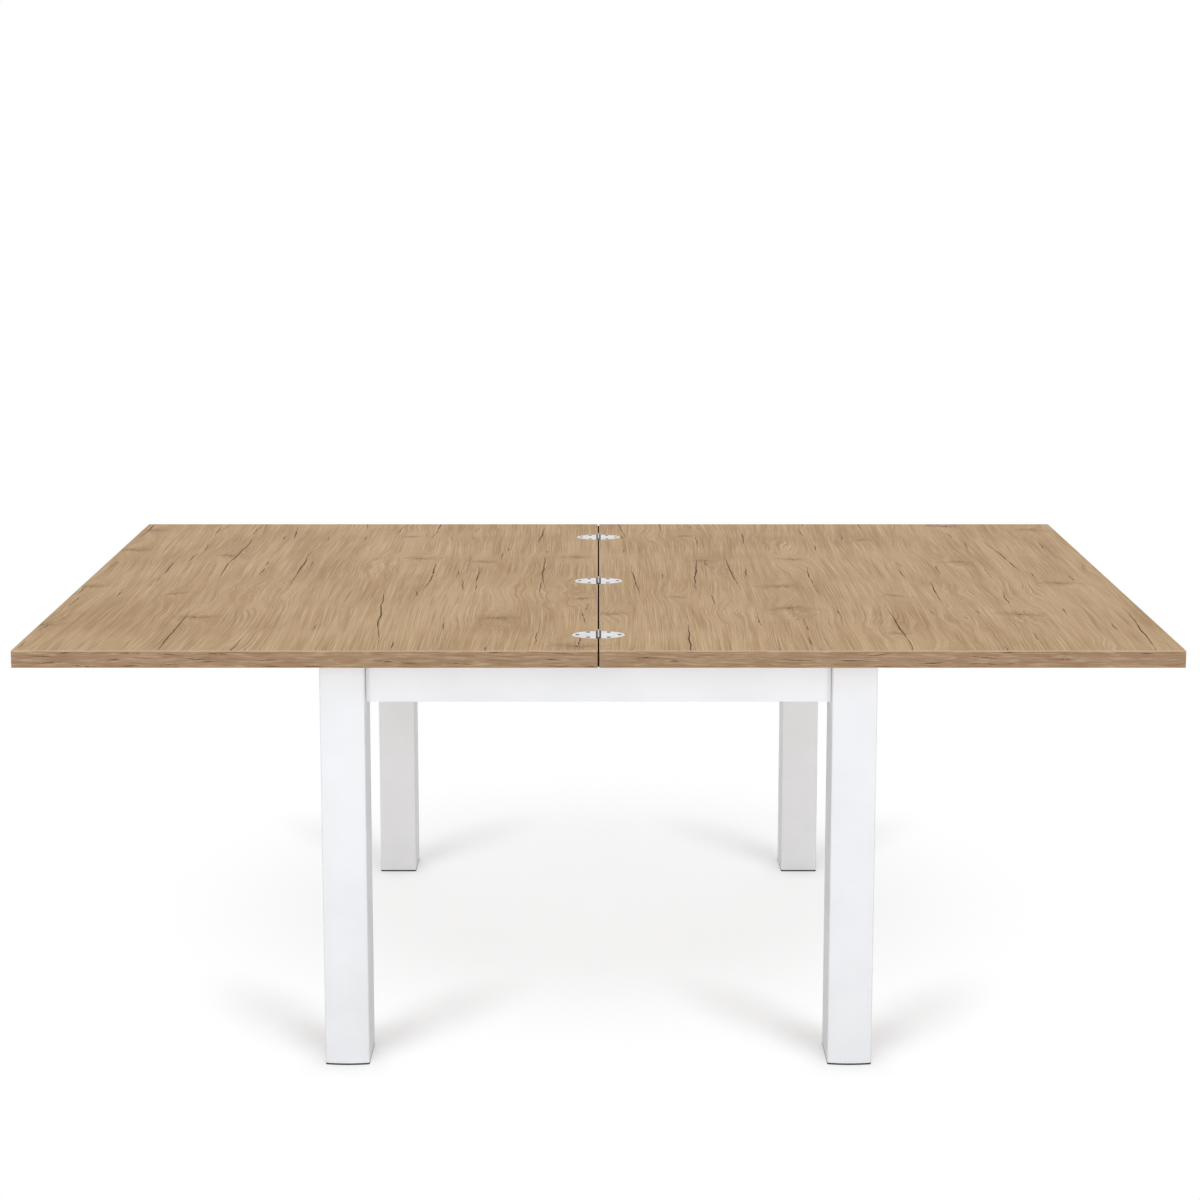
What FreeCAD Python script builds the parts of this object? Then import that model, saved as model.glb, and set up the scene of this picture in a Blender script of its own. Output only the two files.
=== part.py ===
import FreeCAD, Part
import os
from math import sqrt

from FreeCAD import Placement, Rotation, Vector

# Extending table, drawn open. Its top is two equal leaves hinged together. The sliding leaf runs
# along two steel rails in the frame, and the folding leaf turns over onto it.
# Millimetres. X runs along the opened top, Y from the front to the rear and Z up.
# The origin is on the floor, under the middle of the seam between the leaves.

# Leaves: faced boards with a band on every edge
TABLE_HEIGHT = 760.0
LEAF_LENGTH = 1000.0
LEAF_WIDTH = 1000.0
LEAF_THICKNESS = 30.0
SEAM_GAP = 3.0
FOLDED_GAP = 0.5
BAND_THICKNESS = 1.0
BAND_ROUND = 0.7

# Rubber strip that closes the seam, stuck to the sliding leaf
STRIP_INSET = 1.5
STRIP_CLEARANCE = 0.4
STRIP_ROUND = 0.8

# Frame: four legs joined by four aprons
END_OVERHANG = 16.0
SIDE_OVERHANG = 30.0
LEG_SIZE = 80.0
LEG_CROWN = 2.5
LEG_ROUND = 4.0
APRON_HEIGHT = 74.0
APRON_THICKNESS = 20.0
APRON_SETBACK = 20.0
APRON_ROUND = 1.5

# Dowels between the aprons and the legs
DOWEL_RADIUS = 4.0
DOWEL_LENGTH = 32.0
DOWEL_SPACING = 36.0

# Foot glides, and the pads that the leaves rest on
FOOT_THICKNESS = 3.0
FOOT_INSET = 0.2
FOOT_STEM_RADIUS = 4.0
FOOT_STEM_LENGTH = 18.0
PAD_RADIUS = 16.0
PAD_THICKNESS = 3.0
PAD_PROUD = 1.5

# Corner brackets, each drawn to its leg by a hanger bolt
BRACKET_THICKNESS = 2.0
BRACKET_BEND = 2.0
BRACKET_WING = 34.0
BRACKET_GAP = 4.0
BRACKET_MARGIN = 4.0
LEG_FLAT = 22.0
BOLT_RADIUS = 4.0
BOLT_DEPTH = 40.0
BOLT_END = 4.0
WASHER_RADIUS = 8.0
WASHER_THICKNESS = 1.6
NUT_FLATS = 13.0
NUT_HEIGHT = 6.5

# Guide rails on the front and rear aprons
RAIL_HEIGHT = 28.0
RAIL_DEPTH = 16.0
RAIL_WALL = 1.5
RAIL_BEND = 0.8
RAIL_LIP = 6.5
RAIL_DROP = 5.0
RAIL_END_GAP = 6.0
RAIL_SCREW_INSET = 30.0
RAIL_SCREW_COUNT = 4
STOP_LENGTH = 12.0

# Slide brackets under the sliding leaf, and the nylon shoes that run in the rails
SLIDE_THICKNESS = 2.5
SLIDE_BEND = 1.5
SLIDE_FLANGE = 40.0
SLIDE_RAIL_GAP = 1.0
SLIDE_SCREW_COUNT = 3
SHOE_LENGTH = 45.0
SHOE_BACK_GAP = 3.0
SHOE_ROUND = 3.0

# Hinges: oval plates let in flush, with a barrel of five knuckles on the seam
HINGE_INSET = 115.0
HINGE_FORWARD = 14.0
HINGE_LENGTH = 94.0
HINGE_WIDTH = 48.0
HINGE_THICKNESS = 2.5
HINGE_CHAMFER = 0.8
STRAP_THICKNESS = 1.2
BARREL_RADIUS = 2.6
BARREL_GAP = 1.8
KNUCKLE_COUNT = 5
KNUCKLE_GAP = 0.3
PIN_RADIUS = 1.25
HINGE_SCREW_NEAR = 18.0
HINGE_SCREW_SPREAD = 32.0
HINGE_SCREW_TIP = 37.0

# Screws
FLUSH_SCREW_RADIUS = 1.75
FLUSH_SCREW_HEAD = 3.8
PAN_SCREW_RADIUS = 2.0
PAN_SCREW_HEAD = 3.8
PAN_SCREW_HEAD_HEIGHT = 2.2
SCREW_POINT = 4.0
SCREW_COVER = 6.0
SHOE_SCREW_COVER = 3.0
CROSS_LENGTH = 5.0
CROSS_WIDTH = 1.1
CROSS_DEPTH = 1.2

# Fits and clearances
HOLE_FIT = 0.1
PIN_FIT = 0.05
STOP_FIT = 0.2
STOP_CLEARANCE = 0.5
SLIDE_CLEARANCE = 0.4
POCKET_FIT = 0.5
POCKET_FLOOR = 0.1
BARREL_POCKET = 0.8

# Levels
UNDERSIDE = TABLE_HEIGHT - LEAF_THICKNESS
FRAME_TOP = UNDERSIDE - PAD_PROUD
APRON_BOTTOM = FRAME_TOP - APRON_HEIGHT
RAIL_TOP = FRAME_TOP - RAIL_DROP
RAIL_BOTTOM = RAIL_TOP - RAIL_HEIGHT
RAIL_MIDDLE = (RAIL_TOP + RAIL_BOTTOM) / 2
SLOT_HALF = RAIL_HEIGHT / 2 - RAIL_LIP
BRACKET_BOTTOM = APRON_BOTTOM + BRACKET_MARGIN
BRACKET_TOP = RAIL_BOTTOM - BRACKET_MARGIN
BRACKET_MIDDLE = (BRACKET_BOTTOM + BRACKET_TOP) / 2
HINGE_AXIS = TABLE_HEIGHT + FOLDED_GAP / 2
BARREL_FLOOR = HINGE_AXIS - BARREL_RADIUS - BARREL_POCKET

# Plan of the front left corner, which the other corners mirror
BASE_LEFT = END_OVERHANG - LEAF_LENGTH / 2
BASE_FRONT = SIDE_OVERHANG - LEAF_WIDTH / 2
LEG_INNER_X = BASE_LEFT + LEG_SIZE
LEG_INNER_Y = BASE_FRONT + LEG_SIZE
APRON_INNER_X = BASE_LEFT + APRON_SETBACK + APRON_THICKNESS
APRON_INNER_Y = BASE_FRONT + APRON_SETBACK + APRON_THICKNESS
CORNER = Vector(LEG_INNER_X, LEG_INNER_Y, BRACKET_MIDDLE)
DIAGONAL = Vector(1, 1, 0) / sqrt(2)

# Run of the slide: the sliding leaf moves half a leaf and half the seam, to the middle of the frame
TRAVEL = (LEAF_LENGTH + SEAM_GAP) / 2
RAIL_START = LEG_INNER_X + RAIL_END_GAP
RAIL_FACE = APRON_INNER_Y + RAIL_DEPTH
STOP_ROOM = STOP_LENGTH + STOP_CLEARANCE
SLIDE_START = RAIL_START + STOP_ROOM
SLIDE_LENGTH = -2 * RAIL_START - 2 * STOP_ROOM - TRAVEL
SLIDE_END = SLIDE_START + SLIDE_LENGTH
SLIDE_FACE = RAIL_FACE + SLIDE_RAIL_GAP
SHOE_BACK = APRON_INNER_Y + RAIL_WALL + SHOE_BACK_GAP

# The plates of a hinge start this far from the pin
PLATE_START = BARREL_RADIUS + BARREL_GAP

UP = Vector(0, 0, 1)
DOWN = Vector(0, 0, -1)
INWARD = Vector(0, 1, 0)
MIRROR_X = Vector(1, 0, 0)
MIRROR_Y = Vector(0, 1, 0)
ORIGIN = Vector(0, 0, 0)
LEFT = -1
RIGHT = 1
ROUND_JOIN = 0
SHARP_JOIN = 2
HINGE_ROWS = {
    "front": HINGE_INSET - LEAF_WIDTH / 2 - HINGE_FORWARD,
    "middle": -HINGE_FORWARD,
    "rear": LEAF_WIDTH / 2 - HINGE_INSET - HINGE_FORWARD,
}


def block(x, y, z):
    """Box between two ends on each axis, given in either order."""
    low = Vector(min(x), min(y), min(z))
    high = Vector(max(x), max(y), max(z))
    size = high - low
    return Part.makeBox(size.x, size.y, size.z, low)


def edges_along(shape, direction):
    """Straight edges that run along a direction."""
    found = []
    for edge in shape.Edges:
        if isinstance(edge.Curve, Part.Line) and edge.Curve.Direction.cross(direction).Length < 1e-6:
            found.append(edge)
    return found


def rounded_along(shape, radius, direction):
    """Shape with every straight edge along a direction rounded."""
    return shape.makeFillet(radius, edges_along(shape, direction))


def rod(radius, start, end):
    """Cylinder from one point to another."""
    run = end - start
    return Part.makeCylinder(radius, run.Length, start, run)


def placed(shape, point, direction):
    """Copy of a shape drawn on Z, set at a point with Z turned to a direction."""
    copy = shape.copy()
    copy.Placement = Placement(point, Rotation(UP, direction))
    return copy


def turned(points):
    """Solid turned about Z from the half outline given as (radius, height) points."""
    outline = [Vector(radius, 0, height) for radius, height in points]
    face = Part.Face(Part.makePolygon(outline + outline[:1]))
    return face.revolve(ORIGIN, UP, 360)


def in_rear(shape):
    """Mirror image at the rear of a piece drawn at the front."""
    return shape.mirror(ORIGIN, MIRROR_Y)


def on_right(shape):
    """Mirror image on the right of a piece drawn on the left."""
    return shape.mirror(ORIGIN, MIRROR_X)


def four_corners(shape):
    """A front left piece and its three mirror images, by the corner's name."""
    rear = in_rear(shape)
    return {
        "front_left": shape,
        "front_right": on_right(shape),
        "rear_left": rear,
        "rear_right": on_right(rear),
    }


def at_all_corners(shapes):
    """Front left pieces and their mirror images, as one list."""
    return [piece for shape in shapes for piece in four_corners(shape).values()]


def front_and_rear(shapes):
    """Front pieces and their mirror images at the rear, as one list."""
    return [piece for shape in shapes for piece in (shape, in_rear(shape))]


def pan_screw(length):
    """Wood screw with a domed head above Z = 0 and its point below."""
    top = PAN_SCREW_HEAD_HEIGHT
    return turned([
        (0, top),
        (PAN_SCREW_HEAD / 2, top),
        (PAN_SCREW_HEAD, top / 3),
        (PAN_SCREW_HEAD, 0),
        (PAN_SCREW_RADIUS, 0),
        (PAN_SCREW_RADIUS, SCREW_POINT - length),
        (0, -length),
    ])


def pan_hole(length):
    """Clearance for a pan screw below its head."""
    return rod(PAN_SCREW_RADIUS + HOLE_FIT, ORIGIN, DOWN * (length + HOLE_FIT))


def flush_screw(fit, length):
    """Countersunk screw with its head at Z = 0, or with a fit, the hole that takes it."""
    head = FLUSH_SCREW_HEAD + fit
    shank = FLUSH_SCREW_RADIUS + fit
    depth = length + fit
    return turned([(0, 0), (head, 0), (shank, shank - head), (shank, SCREW_POINT - depth), (0, -depth)])


def crossed(screw):
    """Screw with a cross recess in its head at Z = 0."""
    reach = CROSS_LENGTH / 2
    half = CROSS_WIDTH / 2
    bar = block((-reach, reach), (-half, half), (-CROSS_DEPTH, CROSS_DEPTH))
    return screw.cut([bar, bar.rotated(ORIGIN, UP, 90)])


def leg_outline():
    """Leg section at the front left: the two outward sides crowned, the two inward sides flat."""
    middle = (LEG_CROWN + LEG_SIZE) / 2
    outer = Vector(LEG_CROWN, LEG_CROWN, 0)
    front_end = Vector(LEG_SIZE, LEG_CROWN, 0)
    inner = Vector(LEG_SIZE, LEG_SIZE, 0)
    side_end = Vector(LEG_CROWN, LEG_SIZE, 0)
    sides = [
        Part.Arc(outer, Vector(middle, 0, 0), front_end).toShape(),
        Part.LineSegment(front_end, inner).toShape(),
        Part.LineSegment(inner, side_end).toShape(),
        Part.Arc(side_end, Vector(0, middle, 0), outer).toShape(),
    ]
    face = Part.Face(Part.Wire(sides))
    face.translate(Vector(BASE_LEFT, BASE_FRONT, 0))
    return face


def leg_column(inset, bottom, top):
    """Upright of the leg's section, drawn in by an inset, with its corners rounded."""
    core = leg_outline().makeOffset2D(-LEG_ROUND, SHARP_JOIN)
    section = core.makeOffset2D(LEG_ROUND - inset, ROUND_JOIN)
    column = section.extrude(UP * (top - bottom))
    column.translate(UP * bottom)
    return column


def leg_middle(height):
    """Point on the front left leg's own axis."""
    half = LEG_SIZE / 2
    return Vector(BASE_LEFT + half, BASE_FRONT + half, height)


def apron_dowels(fit):
    """Dowels of the front left leg, two into each apron, or with a fit, their holes."""
    reach = DOWEL_LENGTH / 2 + fit
    line = APRON_SETBACK + APRON_THICKNESS / 2
    middle = (APRON_BOTTOM + FRAME_TOP) / 2
    dowels = []
    for height in (middle - DOWEL_SPACING / 2, middle + DOWEL_SPACING / 2):
        to_front = Vector(LEG_INNER_X, BASE_FRONT + line, height)
        to_side = Vector(BASE_LEFT + line, LEG_INNER_Y, height)
        dowels.append(rod(DOWEL_RADIUS + fit, to_front - MIRROR_X * reach, to_front + MIRROR_X * reach))
        dowels.append(rod(DOWEL_RADIUS + fit, to_side - MIRROR_Y * reach, to_side + MIRROR_Y * reach))
    return dowels


def on_bolt(distance):
    """Point on the hanger bolt's axis, measured from the leg's inner corner into the frame."""
    return CORNER + DIAGONAL * distance


def hanger_bolt(fit):
    """Bolt from the leg through its bracket, or with a fit, its hole."""
    start = -LEG_FLAT / sqrt(2) - BOLT_DEPTH - fit
    end = BRACKET_GAP + BRACKET_THICKNESS + WASHER_THICKNESS + NUT_HEIGHT + BOLT_END
    return rod(BOLT_RADIUS + fit, on_bolt(start), on_bolt(end))


def hanger_washer():
    seat = BRACKET_GAP + BRACKET_THICKNESS
    disc = rod(WASHER_RADIUS, on_bolt(seat), on_bolt(seat + WASHER_THICKNESS))
    return disc.cut(hanger_bolt(HOLE_FIT))


def hanger_nut():
    """Hexagon nut that draws the bracket towards the leg."""
    rim = [Vector(NUT_FLATS / sqrt(3), 0, 0)]
    for _ in range(6):
        rim.append(Rotation(UP, 60).multVec(rim[-1]))
    hexagon = Part.Face(Part.makePolygon(rim)).extrude(UP * NUT_HEIGHT)
    seat = on_bolt(BRACKET_GAP + BRACKET_THICKNESS + WASHER_THICKNESS)
    return placed(hexagon, seat, DIAGONAL).cut(hanger_bolt(HOLE_FIT))


def leg():
    """Front left leg, with a flat for its bolt behind the aprons."""
    column = leg_column(0.0, FOOT_THICKNESS, FRAME_TOP)
    inner = Vector(LEG_INNER_X, LEG_INNER_Y, APRON_BOTTOM)
    corner = [inner, inner - MIRROR_X * LEG_FLAT, inner - MIRROR_Y * LEG_FLAT, inner]
    flat = Part.Face(Part.makePolygon(corner)).extrude(UP * APRON_HEIGHT)
    pad_seat = rod(PAD_RADIUS + HOLE_FIT, leg_middle(UNDERSIDE - PAD_THICKNESS), leg_middle(UNDERSIDE))
    stem_top = FOOT_THICKNESS + FOOT_STEM_LENGTH + HOLE_FIT
    stem_hole = rod(FOOT_STEM_RADIUS + HOLE_FIT, leg_middle(0), leg_middle(stem_top))
    return column.cut([flat, pad_seat, stem_hole, hanger_bolt(HOLE_FIT)] + apron_dowels(HOLE_FIT))


def foot_glide():
    """Plastic plate under the leg, on a stem pressed up into it."""
    plate = leg_column(FOOT_INSET, 0.0, FOOT_THICKNESS)
    stem = rod(FOOT_STEM_RADIUS, leg_middle(0), leg_middle(FOOT_THICKNESS + FOOT_STEM_LENGTH))
    return plate.fuse(stem)


def leaf_pad():
    """Felt disc let into the leg's top, which a leaf rests and slides on."""
    return rod(PAD_RADIUS, leg_middle(UNDERSIDE - PAD_THICKNESS), leg_middle(UNDERSIDE))


def bracket_bends():
    """Points where the bracket's diagonal meets the front and the left apron."""
    total = 2 * DIAGONAL.x * (CORNER.dot(DIAGONAL) + BRACKET_GAP)
    front = Vector(total - APRON_INNER_Y, APRON_INNER_Y, BRACKET_BOTTOM)
    side = Vector(APRON_INNER_X, total - APRON_INNER_X, BRACKET_BOTTOM)
    return front, side


def bracket_screw_seats():
    """Places and directions of one bracket's screws, two on each wing."""
    front, side = bracket_bends()
    seats = []
    for share in (0.25, 0.75):
        along = BRACKET_WING * share
        on_front = Vector(front.x + along, front.y + BRACKET_THICKNESS, BRACKET_MIDDLE)
        on_side = Vector(side.x + BRACKET_THICKNESS, side.y + along, BRACKET_MIDDLE)
        seats.append((on_front, MIRROR_Y))
        seats.append((on_side, MIRROR_X))
    return seats


def at_seats(shape, seats):
    """Copies of a screw or its hole at each seat."""
    return [placed(shape, point, direction) for point, direction in seats]


def corner_bracket():
    """Steel strip bent across the corner, with a wing on each apron."""
    front, side = bracket_bends()
    deep = BRACKET_THICKNESS
    slant = deep * (sqrt(2) - 1)
    outline = [
        front + MIRROR_X * BRACKET_WING,
        front,
        side,
        side + MIRROR_Y * BRACKET_WING,
        side + Vector(deep, BRACKET_WING, 0),
        side + Vector(deep, slant, 0),
        front + Vector(slant, deep, 0),
        front + Vector(BRACKET_WING, deep, 0),
    ]
    face = Part.Face(Part.makePolygon(outline + outline[:1]))
    strip = face.extrude(UP * (BRACKET_TOP - BRACKET_BOTTOM))
    outer = [edge for edge in edges_along(strip, UP) if is_at(edge, (front, side))]
    strip = strip.makeFillet(BRACKET_BEND + BRACKET_THICKNESS, outer)
    inner = [edge for edge in edges_along(strip, UP) if is_at(edge, outline[5:7])]
    strip = strip.makeFillet(BRACKET_BEND, inner)
    holes = at_seats(pan_hole(bracket_screw_length()), bracket_screw_seats())
    return strip.cut(holes + [hanger_bolt(HOLE_FIT)])


def is_at(edge, points):
    """True if an upright edge stands on one of the points."""
    foot = edge.Vertexes[0].Point
    return any(abs(foot.x - p.x) < 1e-6 and abs(foot.y - p.y) < 1e-6 for p in points)


def bracket_screw_length():
    return BRACKET_THICKNESS + APRON_THICKNESS - SCREW_COVER


def rail_screw_length():
    return RAIL_WALL + APRON_THICKNESS - SCREW_COVER


def slide_screw_length():
    return SLIDE_THICKNESS + LEAF_THICKNESS - SCREW_COVER


def shoe_screw_length():
    return SLIDE_FACE + SLIDE_THICKNESS - SHOE_BACK - SHOE_SCREW_COVER


def rail_screw_seats():
    """Places and directions of the front rail's screws, on the inside of its web."""
    first = RAIL_START + RAIL_SCREW_INSET
    step = -2 * first / (RAIL_SCREW_COUNT - 1)
    height = RAIL_MIDDLE
    return [
        (Vector(first + step * index, APRON_INNER_Y + RAIL_WALL, height), INWARD)
        for index in range(RAIL_SCREW_COUNT)
    ]


def front_apron():
    """Front apron between the legs, which carries a guide rail."""
    apron = block(
        (LEG_INNER_X, -LEG_INNER_X),
        (BASE_FRONT + APRON_SETBACK, APRON_INNER_Y),
        (APRON_BOTTOM, FRAME_TOP),
    )
    apron = rounded_along(apron, APRON_ROUND, MIRROR_X)
    dowels = apron_dowels(HOLE_FIT)
    holes = at_seats(pan_hole(rail_screw_length()), rail_screw_seats())
    wings = at_seats(pan_hole(bracket_screw_length()), bracket_screw_seats())
    paired = dowels + wings
    return apron.cut(paired + [on_right(tool) for tool in paired] + holes)


def left_apron():
    """Left apron between the legs."""
    apron = block(
        (BASE_LEFT + APRON_SETBACK, APRON_INNER_X),
        (LEG_INNER_Y, -LEG_INNER_Y),
        (APRON_BOTTOM, FRAME_TOP),
    )
    apron = rounded_along(apron, APRON_ROUND, MIRROR_Y)
    dowels = apron_dowels(HOLE_FIT)
    wings = at_seats(pan_hole(bracket_screw_length()), bracket_screw_seats())
    return apron.cut(front_and_rear(dowels + wings))


def rail_space(clearance):
    """The room inside the front rail, drawn in by a clearance: its ends across and up."""
    inset = RAIL_WALL + clearance
    return (APRON_INNER_Y + inset, RAIL_FACE - inset), (RAIL_BOTTOM + inset, RAIL_TOP - inset)


def front_rail():
    """Steel channel with inturned lips, open towards the middle of the table."""
    run = (RAIL_START, -RAIL_START)
    outside = block(run, (APRON_INNER_Y, RAIL_FACE), (RAIL_BOTTOM, RAIL_TOP))
    inside = block(run, *rail_space(0.0))
    slot = block(
        run,
        (RAIL_FACE - 2 * RAIL_WALL, RAIL_FACE),
        (RAIL_MIDDLE - SLOT_HALF, RAIL_MIDDLE + SLOT_HALF),
    )
    channel = rounded_along(outside, RAIL_BEND + RAIL_WALL, MIRROR_X)
    channel = channel.cut([rounded_along(inside, RAIL_BEND, MIRROR_X), slot])
    return channel.cut(at_seats(pan_hole(rail_screw_length()), rail_screw_seats()))


def rail_stop():
    """Rubber plug in the front rail's left end, which stops the slide."""
    plug = block((RAIL_START, RAIL_START + STOP_LENGTH), *rail_space(STOP_FIT))
    return rounded_along(plug, RAIL_BEND, MIRROR_X)


def shoe_starts():
    """Left ends of the two shoes on a slide bracket."""
    return {"left": SLIDE_START, "right": SLIDE_END - SHOE_LENGTH}


def shoe_screw_seats(start):
    """Places and directions of a front shoe's two screws, on the bracket's inner face."""
    return [
        (Vector(start + SHOE_LENGTH * share, SLIDE_FACE + SLIDE_THICKNESS, RAIL_MIDDLE), INWARD)
        for share in (0.25, 0.75)
    ]


def slide_shoe(start):
    """Nylon block held in the front rail by its lips, with a neck through the slot."""
    run = (start, start + SHOE_LENGTH)
    across, up = rail_space(SLIDE_CLEARANCE)
    head = rounded_along(block(run, (SHOE_BACK, across[1]), up), SHOE_ROUND, UP)
    half = SLOT_HALF - SLIDE_CLEARANCE
    neck_run = (run[0] + SHOE_ROUND, run[1] - SHOE_ROUND)
    neck = block(neck_run, (SHOE_BACK, SLIDE_FACE), (RAIL_MIDDLE - half, RAIL_MIDDLE + half))
    holes = at_seats(pan_hole(shoe_screw_length()), shoe_screw_seats(start))
    return head.fuse(neck).cut(holes)


def slide_screw_seats():
    """Places and directions of the front slide bracket's screws into the leaf."""
    step = SLIDE_LENGTH / SLIDE_SCREW_COUNT
    line = SLIDE_FACE + (SLIDE_THICKNESS + SLIDE_FLANGE) / 2
    return [
        (Vector(SLIDE_START + step * (index + 0.5), line, UNDERSIDE - SLIDE_THICKNESS), DOWN)
        for index in range(SLIDE_SCREW_COUNT)
    ]


def slide_bracket():
    """Steel angle under the sliding leaf, beside the front rail."""
    run = (SLIDE_START, SLIDE_END)
    bottom = RAIL_MIDDLE - SLOT_HALF
    whole = block(run, (SLIDE_FACE, SLIDE_FACE + SLIDE_FLANGE), (bottom, UNDERSIDE))
    bend = [edge for edge in edges_along(whole, MIRROR_X) if is_bend(edge, SLIDE_FACE, UNDERSIDE)]
    angle = whole.makeFillet(SLIDE_BEND + SLIDE_THICKNESS, bend)
    inner_face = SLIDE_FACE + SLIDE_THICKNESS
    inner_top = UNDERSIDE - SLIDE_THICKNESS
    room = block(run, (inner_face, SLIDE_FACE + SLIDE_FLANGE), (bottom, inner_top))
    bend = [edge for edge in edges_along(room, MIRROR_X) if is_bend(edge, inner_face, inner_top)]
    tools = [room.makeFillet(SLIDE_BEND, bend)]
    tools += at_seats(pan_hole(slide_screw_length()), slide_screw_seats())
    for start in shoe_starts().values():
        tools += at_seats(pan_hole(shoe_screw_length()), shoe_screw_seats(start))
    return angle.cut(tools)


def is_bend(edge, y, z):
    """True if an edge along X lies at this place across and up."""
    end = edge.Vertexes[0].Point
    return abs(end.y - y) < 1e-6 and abs(end.z - z) < 1e-6


def oval(margin, depth, row):
    """Oval of a whole hinge, wider by a margin, sunk from the top of the leaves."""
    centre = Vector(0, row, TABLE_HEIGHT)
    rim = Part.Ellipse(centre, HINGE_LENGTH / 2 + margin, HINGE_WIDTH / 2 + margin)
    return Part.Face(Part.Wire(rim.toShape())).extrude(DOWN * depth)


def hinge_screw_seats(side, row):
    """Places and directions of the screws in one plate: two by the barrel, one at the tip."""
    half = HINGE_SCREW_SPREAD / 2
    places = [(HINGE_SCREW_NEAR, -half), (HINGE_SCREW_NEAR, half), (HINGE_SCREW_TIP, 0.0)]
    return [(Vector(side * out, row + along, TABLE_HEIGHT), UP) for out, along in places]


def hinge_screw_length():
    return LEAF_THICKNESS - SCREW_COVER


def hinge_holes(side):
    """Countersunk holes of every hinge on one leaf."""
    hole = flush_screw(HOLE_FIT, hinge_screw_length())
    return [tool for row in HINGE_ROWS.values() for tool in at_seats(hole, hinge_screw_seats(side, row))]


def knuckle_spans(side, row):
    """Ends along Y of the knuckles that one plate carries. The outer ones are on the left plate."""
    pitch = HINGE_WIDTH / KNUCKLE_COUNT
    first = 0 if side == LEFT else 1
    start = row - HINGE_WIDTH / 2
    half_gap = KNUCKLE_GAP / 2
    return [
        (start + pitch * index + half_gap, start + pitch * (index + 1) - half_gap)
        for index in range(first, KNUCKLE_COUNT, 2)
    ]


def hinge_plate(side, row):
    """Half oval plate with straps that drop beside the barrel and roll up into its knuckles."""
    bottom = TABLE_HEIGHT - HINGE_THICKNESS
    half = block(
        (side * PLATE_START, side * HINGE_LENGTH),
        (row - HINGE_WIDTH, row + HINGE_WIDTH),
        (bottom, TABLE_HEIGHT),
    )
    plate = oval(0.0, HINGE_THICKNESS, row).common(half)
    rim = [edge for edge in plate.Edges if isinstance(edge.Curve, Part.Ellipse)]
    top_rim = [edge for edge in rim if abs(edge.CenterOfMass.z - TABLE_HEIGHT) < 1e-6]
    plate = plate.makeChamfer(HINGE_CHAMFER, top_rim)
    knuckles = []
    for span in knuckle_spans(side, row):
        start = Vector(0, span[0], HINGE_AXIS)
        end = Vector(0, span[1], HINGE_AXIS)
        knuckles.append(rod(BARREL_RADIUS, start, end))
        reach = (0, side * (PLATE_START + STRAP_THICKNESS))
        knuckles.append(block(reach, span, (bottom, bottom + STRAP_THICKNESS)))
    bore = pin_rod(row, HINGE_WIDTH, PIN_FIT)
    holes = at_seats(flush_screw(HOLE_FIT, hinge_screw_length()), hinge_screw_seats(side, row))
    return plate.fuse(knuckles).cut([bore] + holes)


def pin_rod(row, length, fit):
    """Rod on the hinge's axis: the pin itself, or with a fit, the bore that it turns in."""
    start = Vector(0, row - length / 2, HINGE_AXIS)
    end = Vector(0, row + length / 2, HINGE_AXIS)
    return rod(PIN_RADIUS + fit, start, end)


def hinge_pockets():
    """Recesses for the plates, deeper along the seam where the barrels turn."""
    pockets = []
    reach = PLATE_START + POCKET_FIT
    for row in HINGE_ROWS.values():
        half = HINGE_WIDTH / 2 + BARREL_POCKET
        pockets.append(oval(POCKET_FIT, HINGE_THICKNESS + POCKET_FLOOR, row))
        pockets.append(block((-reach, reach), (row - half, row + half), (BARREL_FLOOR, TABLE_HEIGHT)))
    return pockets


def leaf_block(side, inset):
    """A leaf's box, drawn in at its four edges."""
    near = SEAM_GAP / 2 + inset
    far = SEAM_GAP / 2 + LEAF_LENGTH - inset
    half = LEAF_WIDTH / 2 - inset
    return block((side * near, side * far), (-half, half), (UNDERSIDE, TABLE_HEIGHT))


def leaf_board(side):
    """Faced board of one leaf."""
    tools = hinge_pockets() + hinge_holes(side)
    if side == LEFT:
        seats = slide_screw_seats()
        tools += front_and_rear(at_seats(pan_hole(slide_screw_length()), seats))
    return leaf_block(side, BAND_THICKNESS).cut(tools)


def leaf_bands(side):
    """Edge bands of one leaf: long bands in front and behind, with the end bands between them."""
    radius = min(BAND_ROUND, BAND_THICKNESS * 0.9)
    outside = leaf_block(side, 0.0)
    ring = outside.makeFillet(radius, outside.Edges)
    ring = ring.cut([leaf_block(side, BAND_THICKNESS)] + hinge_pockets())
    half = LEAF_WIDTH / 2
    inner = half - BAND_THICKNESS
    ends = (side * SEAM_GAP / 2, side * (SEAM_GAP / 2 + LEAF_LENGTH))
    height = (UNDERSIDE, TABLE_HEIGHT)
    front = ring.common(block(ends, (-half, -inner), height))
    rear = ring.common(block(ends, (inner, half), height))
    between = ring.common(block(ends, (-inner, inner), height))
    return Part.makeCompound(front.Solids + rear.Solids + between.Solids)


def seam_strip():
    """Rubber strip on the sliding leaf's edge, under the barrels, its free corners rounded."""
    half = LEAF_WIDTH / 2 - STRIP_INSET
    free = SEAM_GAP / 2 - STRIP_CLEARANCE
    strip = block((-SEAM_GAP / 2, free), (-half, half), (UNDERSIDE + STRIP_INSET, BARREL_FLOOR))
    corners = [edge for edge in edges_along(strip, MIRROR_Y) if abs(edge.CenterOfMass.x - free) < 1e-6]
    return strip.makeFillet(STRIP_ROUND, corners)


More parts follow.
